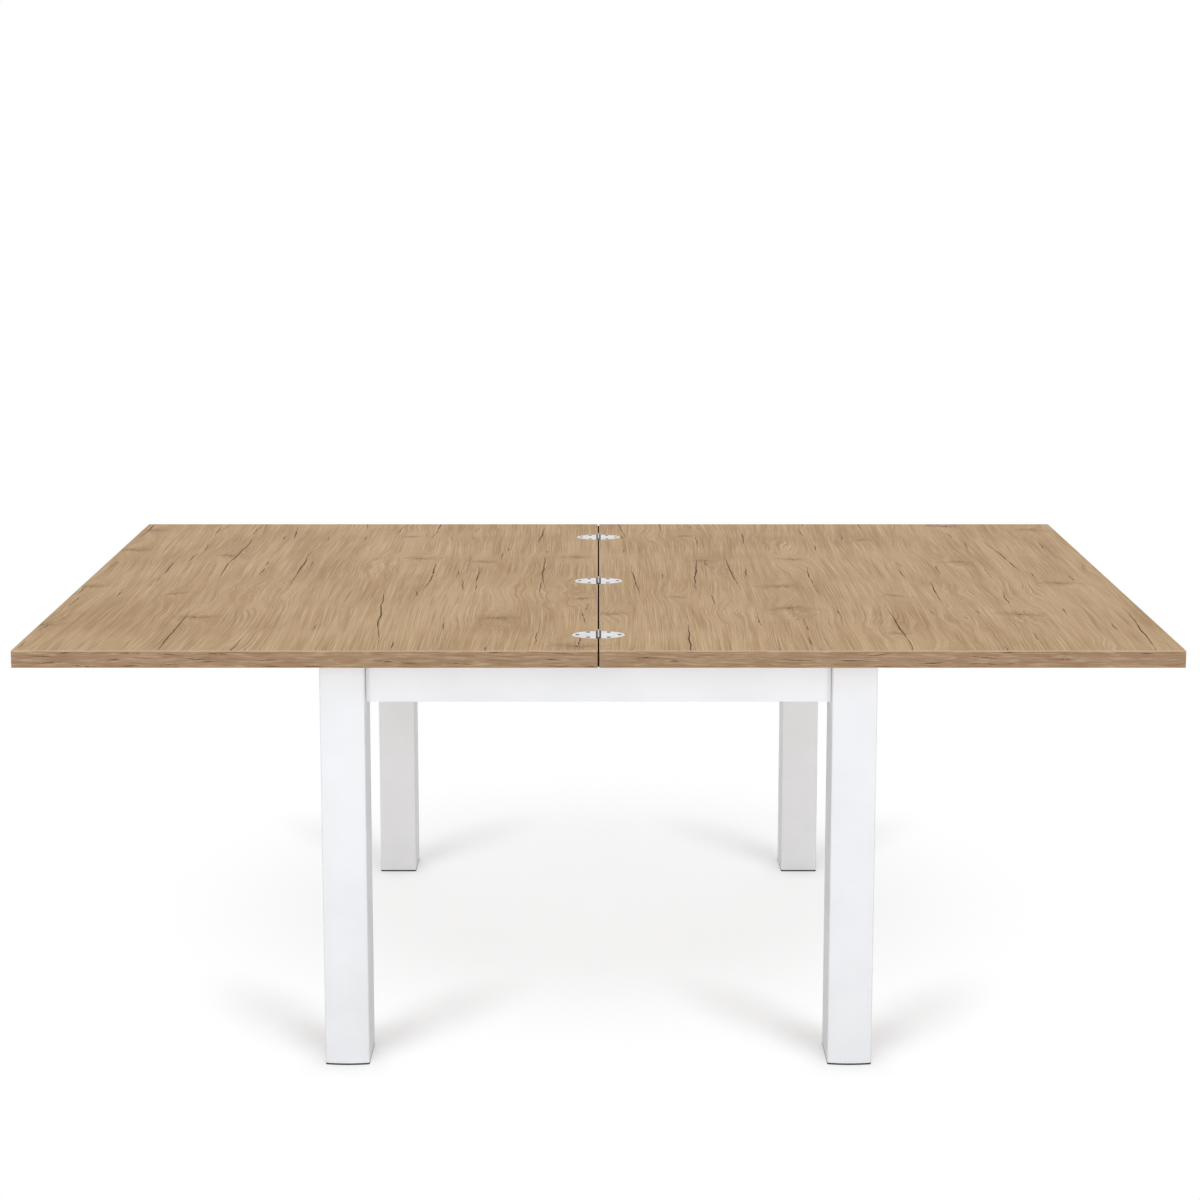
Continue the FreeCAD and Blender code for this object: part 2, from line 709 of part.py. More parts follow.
def frame_nodes():
    """Pieces that stand still: legs, aprons, fittings and rails."""
    nodes = {}
    for name, shape in four_corners(leg()).items():
        nodes["leg_" + name] = shape
    for name, shape in four_corners(foot_glide()).items():
        nodes["foot_glide_" + name] = shape
    for name, shape in four_corners(leaf_pad()).items():
        nodes["leaf_pad_" + name] = shape
    for name, shape in four_corners(corner_bracket()).items():
        nodes["corner_bracket_" + name] = shape
    for name, shape in four_corners(rail_stop()).items():
        nodes["rail_stop_" + name] = shape
    nodes["apron_front"] = front_apron()
    nodes["apron_rear"] = in_rear(nodes["apron_front"])
    nodes["apron_left"] = left_apron()
    nodes["apron_right"] = on_right(nodes["apron_left"])
    nodes["guide_rail_front"] = front_rail()
    nodes["guide_rail_rear"] = in_rear(nodes["guide_rail_front"])
    bracket_screws = at_seats(pan_screw(bracket_screw_length()), bracket_screw_seats())
    rail_screws = at_seats(pan_screw(rail_screw_length()), rail_screw_seats())
    nodes["apron_dowels"] = Part.makeCompound(at_all_corners(apron_dowels(0.0)))
    nodes["hanger_bolts"] = Part.makeCompound(at_all_corners([hanger_bolt(0.0)]))
    nodes["hanger_washers"] = Part.makeCompound(at_all_corners([hanger_washer()]))
    nodes["hanger_nuts"] = Part.makeCompound(at_all_corners([hanger_nut()]))
    nodes["bracket_screws"] = Part.makeCompound(at_all_corners(bracket_screws))
    nodes["rail_screws"] = Part.makeCompound(front_and_rear(rail_screws))
    return nodes


def slide_nodes():
    """Pieces under the sliding leaf that run in the rails."""
    nodes = {"slide_bracket_front": slide_bracket()}
    nodes["slide_bracket_rear"] = in_rear(nodes["slide_bracket_front"])
    shoe_screws = []
    for end, start in shoe_starts().items():
        shoe = slide_shoe(start)
        nodes["slide_shoe_front_" + end] = shoe
        nodes["slide_shoe_rear_" + end] = in_rear(shoe)
        shoe_screws += at_seats(pan_screw(shoe_screw_length()), shoe_screw_seats(start))
    slide_screws = at_seats(pan_screw(slide_screw_length()), slide_screw_seats())
    nodes["slide_shoe_screws"] = Part.makeCompound(front_and_rear(shoe_screws))
    nodes["slide_bracket_screws"] = Part.makeCompound(front_and_rear(slide_screws))
    return nodes


def leaf_nodes(leaf, side):
    """One leaf with its bands, hinge plates and hinge screws."""
    nodes = {leaf + "_board": leaf_board(side), leaf + "_edge_bands": leaf_bands(side)}
    screw = crossed(flush_screw(0.0, hinge_screw_length()))
    screws = []
    hand = "left" if side == LEFT else "right"
    for name, row in HINGE_ROWS.items():
        nodes["hinge_plate_" + name + "_" + hand] = hinge_plate(side, row)
        screws += at_seats(screw, hinge_screw_seats(side, row))
    nodes["hinge_screws_" + hand] = Part.makeCompound(screws)
    return nodes


def hinge_pins():
    """Pins held in the left plates, which the right plates turn on."""
    length = HINGE_WIDTH - KNUCKLE_GAP
    return {"hinge_pin_" + name: pin_rod(row, length, 0.0) for name, row in HINGE_ROWS.items()}


def main():
    os.makedirs("parts", exist_ok=True)
    nodes = frame_nodes()
    nodes.update(slide_nodes())
    nodes.update(leaf_nodes("sliding_leaf", LEFT))
    nodes["seam_strip"] = seam_strip()
    nodes.update(leaf_nodes("folding_leaf", RIGHT))
    nodes.update(hinge_pins())
    for name, shape in nodes.items():
        shape.exportStep("parts/" + name + ".step")
    print(len(nodes), "nodes")


main()
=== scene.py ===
from math import ceil, cos, pi, radians, sin, tau
from typing import NamedTuple

import bmesh
import bpy
from bpy.props import FloatProperty, FloatVectorProperty, IntProperty, PointerProperty
from bpy.types import NodeSocket, Operator, Panel, PropertyGroup
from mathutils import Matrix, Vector


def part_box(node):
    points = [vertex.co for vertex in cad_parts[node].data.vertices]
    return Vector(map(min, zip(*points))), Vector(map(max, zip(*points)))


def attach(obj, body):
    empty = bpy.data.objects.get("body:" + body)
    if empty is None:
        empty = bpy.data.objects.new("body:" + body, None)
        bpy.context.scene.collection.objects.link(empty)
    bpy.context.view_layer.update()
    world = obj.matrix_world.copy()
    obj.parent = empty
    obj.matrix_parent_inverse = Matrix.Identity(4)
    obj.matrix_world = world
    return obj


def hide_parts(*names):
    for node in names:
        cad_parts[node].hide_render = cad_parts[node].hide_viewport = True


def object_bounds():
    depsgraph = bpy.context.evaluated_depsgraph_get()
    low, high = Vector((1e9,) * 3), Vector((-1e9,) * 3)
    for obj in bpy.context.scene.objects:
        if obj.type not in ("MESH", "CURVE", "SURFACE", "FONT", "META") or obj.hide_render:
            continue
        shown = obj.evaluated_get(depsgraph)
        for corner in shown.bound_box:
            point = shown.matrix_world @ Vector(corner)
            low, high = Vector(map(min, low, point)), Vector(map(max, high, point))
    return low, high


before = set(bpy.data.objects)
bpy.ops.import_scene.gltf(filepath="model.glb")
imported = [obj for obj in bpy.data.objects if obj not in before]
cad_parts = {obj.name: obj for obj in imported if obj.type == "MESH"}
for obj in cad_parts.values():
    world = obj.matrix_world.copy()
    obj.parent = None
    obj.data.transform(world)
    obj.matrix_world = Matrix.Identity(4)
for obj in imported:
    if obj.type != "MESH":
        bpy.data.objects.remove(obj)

# An extending table, shown open. Its two oak leaves are hinged together over a white frame. One leaf
# slides along steel rails in the frame, and the other turns over onto it.
# Metres. X runs along the opened top, Y from the front to the rear and Z up.

bl_info = {
    "name": "Extending table",
    "version": (1, 0, 0),
    "blender": (4, 5, 0),
    "location": "3D View > Sidebar > Table",
    "description": "Finishes and fittings of a table with a sliding, folding top",
    "category": "Object",
}

CAD_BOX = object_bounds()
MM = 0.001
CORNERS = ("front_left", "front_right", "rear_left", "rear_right")
APRONS = ("apron_front", "apron_rear", "apron_left", "apron_right")
HINGES = ("front", "middle", "rear")

# Share of a rounded edge's size at which the middle one of its three rings of points sits
KNEE = 0.3

# Distances within which points of a made mesh and of a CAD mesh are merged
WELD = 1e-7
CAD_WELD = 1e-6


class Kind(NamedTuple):
    """Type of a node, its settings, the inputs that a list of values fills, and the output that is used,
    or None for all of them."""
    type: str
    settings: dict = {}
    inputs: tuple = (0, 1, 2, 3, 4)
    output: object = 0


# Coordinates and their parts
PLACE = Kind("ShaderNodeTexCoord", output="Object")
MAPPING = Kind("ShaderNodeMapping")
COMBINE = Kind("ShaderNodeCombineXYZ")
SEPARATE = Kind("ShaderNodeSeparateXYZ", output=None)
CHANNELS = Kind("ShaderNodeSeparateColor", output=None)

# Patterns
NOISE = Kind("ShaderNodeTexNoise", {}, ("Vector", "Scale", "Detail", "Roughness"))
VORONOI = Kind("ShaderNodeTexVoronoi", {}, ("Vector", "Scale", "Randomness"), None)
BUMP = Kind("ShaderNodeBump", {}, ("Height", "Strength", "Distance"))

# Ranges take a value, the two ends it comes from and the two ends it goes to
RANGE = Kind("ShaderNodeMapRange")
EASED_RANGE = Kind("ShaderNodeMapRange", {"interpolation_type": "SMOOTHSTEP"})

# Mixes take a share, what it is at 0 and what it is at 1
BLEND = Kind("ShaderNodeMix", {"data_type": "RGBA"}, (0, 6, 7), 2)
CHOICE = Kind("ShaderNodeMix", {"data_type": "FLOAT"}, (0, 2, 3))
SHADER_BLEND = Kind("ShaderNodeMixShader")

# Sums
PLUS = Kind("ShaderNodeMath", {"operation": "ADD"})
MINUS = Kind("ShaderNodeMath", {"operation": "SUBTRACT"})
TIMES = Kind("ShaderNodeMath", {"operation": "MULTIPLY"})
TIMES_PLUS = Kind("ShaderNodeMath", {"operation": "MULTIPLY_ADD"})
OVER = Kind("ShaderNodeMath", {"operation": "DIVIDE"})
POWER = Kind("ShaderNodeMath", {"operation": "POWER"})
LARGER = Kind("ShaderNodeMath", {"operation": "MAXIMUM"})
SMALLER = Kind("ShaderNodeMath", {"operation": "MINIMUM"})
ABOVE = Kind("ShaderNodeMath", {"operation": "GREATER_THAN"})
UNSIGNED = Kind("ShaderNodeMath", {"operation": "ABSOLUTE"})
OFFSET = Kind("ShaderNodeVectorMath", {"operation": "SUBTRACT"})
PRODUCT = Kind("ShaderNodeVectorMath", {"operation": "MULTIPLY"})
SCALED = Kind("ShaderNodeVectorMath", {"operation": "SCALE"}, (0, "Scale"))
DISTANCE = Kind("ShaderNodeVectorMath", {"operation": "LENGTH"}, output="Value")
DOT = Kind("ShaderNodeVectorMath", {"operation": "DOT_PRODUCT"}, output="Value")

# Surfaces and light
SURFACE = Kind("ShaderNodeOutputMaterial", output=None)
SKY = Kind("ShaderNodeOutputWorld", output=None)
BACKGROUND = Kind("ShaderNodeBackground", {}, ("Color", "Strength"))
RAYS = Kind("ShaderNodeLightPath", output=None)


def linear(code):
    """Linear colour with full alpha from an sRGB hex code."""
    channels = [int(code[start:start + 2], 16) / 255 for start in (0, 2, 4)]
    bright = [c / 12.92 if c <= 0.04045 else ((c + 0.055) / 1.055) ** 2.4 for c in channels]
    return (*bright, 1.0)


WHITE = linear("ffffff")


def colour(name, code, description):
    """Colour property from an sRGB hex code."""
    return FloatVectorProperty(
        name=name, description=description, subtype="COLOR", size=4, min=0, max=1, default=linear(code)
    )


def length(name, size, description):
    """Length property from a size in millimetres."""
    return FloatProperty(name=name, description=description, unit="LENGTH", precision=5, default=size * MM)


def lengths(name, sizes, description):
    """Property for lengths along two or three axes, from sizes in millimetres."""
    return FloatVectorProperty(
        name=name, description=description, unit="LENGTH", precision=5, size=len(sizes),
        default=[size * MM for size in sizes],
    )


def number(name, value, description):
    """Plain number property."""
    return FloatProperty(name=name, description=description, precision=3, default=value)


def angle(name, degrees, description):
    """Angle property from degrees."""
    return FloatProperty(name=name, description=description, unit="ROTATION", default=radians(degrees))


class TableForm(PropertyGroup):
    """Sizes of the pieces that are made here"""
    leg_crown: length("Leg crown", 2.5, "Rise of the two outward sides of a leg")
    leg_round: length("Leg corner", 2.5, "Radius of a leg's upright corners")
    leg_arris: length("Leg arris", 0.8, "Rounding at the top and foot of a leg")
    leg_flat: length("Bolt flat", 22.0, "Width of the flat cut on a leg's inner corner for its bolt")
    apron_gap: length("Apron joint", 0.8, "Dark gap that shows between an apron's end and its leg")
    apron_edge: length("Apron edge", 1.0, "Rounding of an apron's long edges")
    apron_arris: length("Apron arris", 0.2, "Bevel round an apron's ends")
    foot_inset: length("Foot inset", 0.2, "Step from a leg's side in to its foot glide")
    foot_arris: length("Foot arris", 0.7, "Rounding of a foot glide's edge")
    stem_radius: length("Foot stem", 4.0, "Radius of the stem that holds a foot glide")
    pad_play: length("Pad play", 0.05, "Room left between a felt pad and the leaf on it")
    pad_arris: length("Pad arris", 0.5, "Softened edge of a felt pad")
    strip_lip: length("Strip lip", 1.2, "Height of the seam strip's lips, which reach for the folding leaf")
    strip_play: length("Strip play", 0.03, "Room left between those lips and the folding leaf")
    fit: length("Fit", 0.1, "Room round a piece that is let into another")
    pan_head: length("Pan head", 3.8, "Radius of a pan screw's head")
    pan_rise: length("Pan head rise", 2.2, "Height of a pan screw's head")
    pan_shank: length("Pan shank", 2.0, "Radius of a pan screw's shank")
    flush_head: length("Flush head", 3.8, "Radius of a hinge screw's head")
    flush_shank: length("Flush shank", 1.75, "Radius of a hinge screw's shank")
    bolt_radius: length("Bolt", 4.0, "Radius of a hanger bolt over its thread")
    bolt_pitch: length("Bolt pitch", 1.25, "Pitch of a hanger bolt's thread")
    nut_flats: length("Nut flats", 13.0, "Distance across a nut's flats")
    washer_radius: length("Washer", 8.0, "Outer radius of a washer")
    screw_seed: IntProperty(
        name="Screw turn seed", description="How far each screw happens to be turned", default=7,
    )


class TableFinishes(PropertyGroup):
    """Tones and pattern sizes of the materials"""
    oak: colour("Oak", "c7a77f", "Main tone of the oak print")
    oak_deep: colour("Deep oak", "b29068", "Tone of the darker growth")
    oak_pale: colour("Pale oak", "dec59f", "Tone of the pale growth lines")
    oak_smudge: colour("Oak smudge", "8f6b4b", "Tone of the stain beside a knot")
    oak_crack: colour("Oak crack", "4a290c", "Tone inside cracks and knots")
    band: colour("Edge band", "a78b6f", "Main tone of the edge bands")
    band_deep: colour("Deep edge band", "967a5e", "Tone of the bands' darker growth")
    # The next pale tone serves both the bands' pale growth lines and the painted highlight along their upper
    # arris.
    band_pale_and_arris_highlight: colour("Band arris", "d2bd9d", "Pale line along the bands' upper arris")
    lacquer: colour("Lacquer", "f1f2f3", "White of the legs and aprons")
    lacquer_dull: colour("Dull lacquer", "ebeced", "White where the lacquer lies thinner")
    nickel: colour("Nickel", "e6e6e6", "Tone of the hinges")
    nickel_dull: colour("Dull nickel", "cecfd0", "Tone of the hinges between the brush marks")
    # Painted shade: the next tone is laid down both flanks of each hinge barrel to stand for the shade there.
    painted_barrel_shade: colour("Hinge grime", "35322f", "Tone of the oil and dust beside the hinge barrels")
    screw_steel: colour("Screw steel", "3c3b40", "Tone of the hinge screws")
    zinc: colour("Zinc", "c3c7cb", "Tone of the plated fittings")
    zinc_dull: colour("Dull zinc", "a3a8ad", "Tone of the plating's darker crystals")
    plastic: colour("Foot plastic", "3a3a3c", "Tone of the foot glides")
    rubber: colour("Rubber", "181615", "Tone of the rail stops")
    seam: colour("Seam rubber", "24140b", "Tone of the strip in the seam")
    nylon: colour("Nylon", "e6e4dc", "Tone of the slide shoes")
    felt: colour("Felt", "8b8a88", "Main tone of the leg pads")
    felt_dark: colour("Dark felt", "5f5e5d", "Tone between the felt's fibres")
    # Painted shade: the dowels' tone is set darker than raw beech so that they read as shade through the
    # apron joints.
    beech: colour("Beech", "8d6c4b", "Tone of the dowels")
    beech_fleck: colour("Beech fleck", "6d5036", "Tone of the dowels' flecks")
    growth: length("Growth line spacing", 3.4, "Distance between the oak's growth lines")
    swirl: lengths("Swirl", (20.0, 50.0), "Width of the swirls in those lines, and their length")
    pore: length("Pore width", 0.9, "Width of the oak's open pores, drawn coarser than real to show")
    crack: length("Crack", 1.9, "Half width of the oak's long cracks where they are widest")


class TableStage(PropertyGroup):
    """Camera, light and floor"""
    lens: FloatProperty(name="Lens", description="Focal length", unit="CAMERA", default=56.79)
    sensor: FloatProperty(name="Sensor", description="Width of the sensor", unit="CAMERA", default=36.0)
    distance: length("Camera distance", 3639.9, "Distance in front of the table's middle")
    height: length("Camera height", 1669.5, "Height above the floor")
    pitch: angle("Pitch", 83.35, "Turn up from looking down")
    shift_x: number("Shift across", 0.00125, "Sideways shift of the picture")
    shift_y: number("Shift up", -0.2218, "Upward shift of the picture")
    front_light: number("Front light", 1.1, "Strength of the soft light from in front")
    rear_light: number("Rear light", 2.0, "Strength of the soft light from behind")
    side_light: number("Side light", 0.05, "Strength of the soft light from the two sides")
    upper_light: number("Upper light", 0.8, "Strength of the soft light from above")
    soft_tint: colour("Soft light tint", "fbfbfd", "Tone of the soft light")
    key_place: lengths("Front lamp", (5600, -12000, 2200), "Place of the right one of the two lamps in front")
    key_aim: lengths("Front lamp aim", (0, 0, 500), "Point that the lamps in front face")
    key_size: lengths("Front lamp size", (3600, 3600), "Width and height of each lamp in front")
    key_power: number("Front lamp power", 255.0, "Power of each lamp in front, in watts")
    top_place: lengths("Top lamp", (0, -800, 4400), "Place of the lamp above")
    top_aim: lengths("Top lamp aim", (0, 0, 600), "Point that the lamp above faces")
    top_size: lengths("Top lamp size", (4000, 3000), "Width and depth of the lamp above")
    top_power: number("Top lamp power", 12.0, "Power of the lamp above, in watts")
    floor_tone: colour("Floor", "f7f9fc", "Tone of the floor's paint")
    floor_reach: length("Floor reach", 30000, "Half width of the floor")
    # The floor's seen white is a painted glow over its real shade. The patch and lobes below are painted
    # shapes in which that shade is let through.
    floor_glow: number("Floor glow", 0.77, "Share of plain white in the floor as it is seen under the table")
    patch_middle: lengths("Patch middle", (0, 300), "Middle of the shade under the table")
    patch_size: lengths("Patch size", (1000, 750), "Half width and half depth of that shade")
    patch_core: number("Patch core", 0.4, "Share of that shade's size over which it is even")
    near_glow: number("Near glow", 0.5, "Part of the white that is left in the two lobes of shade at a foot")
    near_start: length("Near start", 50, "Distance from a foot to the middle of such a lobe")
    near_size: lengths("Near size", (85, 170), "Half width and half length of such a lobe")
    far_glow: number("Far glow", 0.7, "Part of the white that is left in two fainter lobes further back")
    far_start: length("Far start", 200, "Distance from a foot to the middle of a fainter lobe")
    far_size: lengths("Far size", (110, 280), "Half width and half length of a fainter lobe")
    lobe_turn: angle("Lobe turn", 45, "Turn of the lobes from straight back")


def add(tree, kind, values=(), **settings):
    """Adds a node, sets it up, fills or links its inputs, and gives the output that its kind uses, or all."""
    if isinstance(kind, str):
        kind = Kind(kind)
    node = tree.nodes.new(kind.type)
    for name, value in {**kind.settings, **settings}.items():
        setattr(node, name, value)
    for key, value in values.items() if isinstance(values, dict) else zip(kind.inputs, values):
        if isinstance(value, NodeSocket):
            tree.links.new(value, node.inputs[key])
        else:
            node.inputs[key].default_value = value
    return node.outputs if kind.output is None else node.outputs[kind.output]


def empty_tree(owner):
    """Node tree of a new material or world, with nothing in it."""
    owner.use_nodes = True
    owner.node_tree.nodes.clear()
    return owner.node_tree


def finish(maker):
    """Material by the function that gives its surface and its name, mixed when it is first asked for."""
    name = maker.__name__
    if name in bpy.data.materials:
        return bpy.data.materials[name]
    material = bpy.data.materials.new(name)
    tree = empty_tree(material)
    surface = add(tree, "ShaderNodeBsdfPrincipled", maker(tree, bpy.context.scene.table_finishes))
    add(tree, SURFACE, [surface])
    return material


def stretched(tree, place, size, shift=0.0):
    """Coordinates in which one unit is the size on each axis. A shift picks another part of a pattern."""
    scale = [1 / extent for extent in size]
    return add(tree, MAPPING, {"Vector": place, "Location": (shift, shift, shift), "Scale": scale})


def cells(tree, grain, width, run, shift):
    """Scattered spots along the grain: offsets from the nearest one, its chances and the room round it."""
    place = stretched(tree, grain, (width, run, 1.0), shift)
    scatter = [place, 1.0, 0.85]
    spot = add(tree, VORONOI, scatter, voronoi_dimensions="2D")
    room = add(tree, VORONOI, scatter, voronoi_dimensions="2D", feature="DISTANCE_TO_EDGE")
    offset = add(tree, SEPARATE, [add(tree, OFFSET, [place, spot["Position"]])])
    across = add(tree, TIMES, [offset[0], width])
    along = add(tree, TIMES, [offset[1], run])
    chances = add(tree, CHANNELS, [spot["Color"]])
    return across, along, chances, room["Distance"]


def cracks(tree, grain, width, run, half, share, shift):
    """Mask of crooked cracks along the grain, one in a share of the cells of this width and run."""
    across, along, chances, room = cells(tree, grain, width, run, shift)
    bend = add(tree, NOISE, [stretched(tree, grain, (width, 0.25 * run, 1.0), shift), 1.0, 4.0])
    bend = add(tree, RANGE, [bend, 0.0, 1.0, -0.08 * width, 0.08 * width])
    lean = add(tree, RANGE, [chances[2], 0.0, 1.0, -0.08, 0.08])
    lean = add(tree, TIMES, [lean, along])
    across = add(tree, PLUS, [add(tree, PLUS, [across, bend]), lean])
    across = add(tree, UNSIGNED, [across])
    along = add(tree, UNSIGNED, [along])
    reach = add(tree, RANGE, [chances[1], 0.0, 1.0, 0.12 * run, 0.48 * run])
    taper = add(tree, RANGE, [add(tree, OVER, [along, reach]), 1.0, 0.0, 0.0, 1.0])
    ends = add(tree, RANGE, [room, 0.02, 0.14, 0.0, 1.0])
    breaks = add(tree, NOISE, [stretched(tree, grain, (width, 0.12 * run, 1.0), shift + 3), 1.0])
    breaks = add(tree, RANGE, [breaks, 0.34, 0.5, 0.1, 1.0])
    opening = add(tree, TIMES, [add(tree, TIMES, [taper, ends]), breaks])
    opening = add(tree, TIMES, [add(tree, POWER, [opening, 0.5]), half])
    inside = add(tree, MINUS, [opening, across])
    inside = add(tree, RANGE, [inside, 0.0, 0.35 * half, 0.0, 1.0])
    chosen = add(tree, ABOVE, [chances[0], 1 - share])
    return add(tree, TIMES, [inside, chosen])


def knots(tree, grain, width, run, share, shift):
    """Masks of small knots, one in a share of the cells of this width and run: the dark eye, a dark line
    and a stain drawn out across the grain, and the disturbed growth round them."""
    across, along, chances, room = cells(tree, grain, width, run, shift)
    chosen = add(tree, ABOVE, [chances[0], 1 - share])
    chosen = add(tree, TIMES, [chosen, add(tree, RANGE, [room, 0.02, 0.2, 0.0, 1.0])])
    size = add(tree, RANGE, [chances[1], 0.0, 1.0, 1.5 * MM, 4.0 * MM])
    curl = add(tree, NOISE, [stretched(tree, grain, (45 * MM, 300 * MM, 1.0), shift), 1.0, 2.0])
    along = add(tree, PLUS, [along, add(tree, RANGE, [curl, 0.0, 1.0, -25 * MM, 25 * MM])])
    ragged = add(tree, NOISE, [grain, 1 / (9 * MM), 3.0])
    ragged = add(tree, RANGE, [ragged, 0.25, 0.75, 0.5, 1.7])
    masks = []
    # Squeeze of each mask across and along the grain, and its reach in knot sizes
    shapes = ((1.0, 0.7, 1.0), (0.13, 0.8, 1.5), (0.2, 0.5, 4.0), (0.7, 0.35, 10.0))
    for squeeze_across, squeeze_along, reach in shapes:
        squeezed = add(tree, COMBINE, [
            add(tree, TIMES, [across, squeeze_across]), add(tree, TIMES, [along, squeeze_along]),
        ])
        away = add(tree, TIMES, [add(tree, DISTANCE, [squeezed]), ragged])
        away = add(tree, OVER, [away, size])
        near = add(tree, EASED_RANGE, [away, reach, 0.2 * reach, 0.0, 1.0])
        masks.append(add(tree, TIMES, [near, chosen]))
    return masks


def flowing(tree, grain, swirl, calm, wild, disturbed):
    """Coordinates along the grain, bent by swirls that are calm in some places and wild in others."""
    drift = add(tree, NOISE, [stretched(tree, grain, (200 * MM, 600 * MM, 1.0)), 1.0, 1.0])
    eddies = add(tree, NOISE, [stretched(tree, grain, (*swirl, 1.0), 5.0), 1.0, 1.0])
    strength = add(tree, NOISE, [stretched(tree, grain, (140 * MM, 260 * MM, 1.0), 9.0), 1.0, 1.0])
    strength = add(tree, EASED_RANGE, [strength, 0.55, 0.7, calm, wild])
    parts = add(tree, SEPARATE, [grain])
    across = add(tree, TIMES_PLUS, [drift, 50 * MM, parts[0]])
    across = add(tree, TIMES_PLUS, [eddies, strength, across])
    across = add(tree, TIMES_PLUS, [disturbed, 20 * MM, across])
    return add(tree, COMBINE, [across, parts[1]])


def streaks(tree, flow, width, run, low, high, shift=0.0):
    """Mask of irregular streaks of a width and a run that follow bent coordinates."""
    noise = add(tree, NOISE, [stretched(tree, flow, (width, run, 1.0), shift), 1.0, 2.0, 0.55])
    return add(tree, EASED_RANGE, [noise, low, high, 0.0, 1.0])


def oak_decor_melamine(tree, tones):
    """Chipboard faced with melamine that is printed with knotty oak: matt, warm tan, with pale growth
    lines, dark cracks along the grain and a faint pressed pore that only shows in raking light."""
    grain = add(tree, PLACE)
    eye, line, stain, disturbed = knots(tree, grain, width=190 * MM, run=250 * MM, share=0.5, shift=1.7)
    flow = flowing(tree, grain, tones.swirl, 2 * MM, 26 * MM, disturbed)
    pale = streaks(tree, flow, 0.5 * tones.growth, 180 * MM, 0.48, 0.68)
    brown = streaks(tree, flow, 0.7 * tones.growth, 200 * MM, 0.52, 0.72, 3.0)
    wide = streaks(tree, flow, 7 * tones.growth, 400 * MM, 0.35, 0.7, 8.0)
    pores = streaks(tree, flow, tones.pore, 60 * tones.pore, 0.35, 0.7, 6.0)
    long_cracks = cracks(tree, grain, width=130 * MM, run=500 * MM, half=tones.crack, share=0.75, shift=2.3)
    short_cracks = cracks(
        tree, grain, width=80 * MM, run=120 * MM, half=0.8 * tones.crack, share=0.3, shift=7.1,
    )
    dark = add(tree, LARGER, [add(tree, LARGER, [long_cracks, short_cracks]), eye])

    blotch = add(tree, NOISE, [stretched(tree, grain, (200 * MM, 220 * MM, 1.0), 4.0), 1.0, 3.0])
    tone = add(tree, TIMES_PLUS, [wide, 0.6, add(tree, TIMES, [blotch, 1.6])])
    tone = add(tree, TIMES_PLUS, [pores, 0.3, tone])
    tone = add(tree, RANGE, [tone, 0.75, 1.55, 0.0, 1.0])
    shade = add(tree, BLEND, [tone, tones.oak_deep, tones.oak])
    pale = add(tree, TIMES, [pale, 0.6])
    shade = add(tree, BLEND, [pale, shade, tones.oak_pale])
    stain = add(tree, TIMES_PLUS, [stain, 0.3, add(tree, TIMES, [brown, 0.55])])
    stain = add(tree, TIMES_PLUS, [line, 0.4, stain])
    shade = add(tree, BLEND, [add(tree, SMALLER, [stain, 0.65]), shade, tones.oak_smudge])
    shade = add(tree, BLEND, [add(tree, TIMES, [dark, 0.9]), shade, tones.oak_crack])

    relief = add(tree, TIMES_PLUS, [pale, 0.4, pores])
    relief = add(tree, TIMES_PLUS, [dark, -1.0, relief])
    return {
        "Base Color": shade,
        "Roughness": add(tree, RANGE, [pores, 0.0, 1.0, 0.62, 0.5]),
        "Normal": add(tree, BUMP, [relief, 0.35, 0.15 * MM]),
        "Specular IOR Level": 0.06,
    }


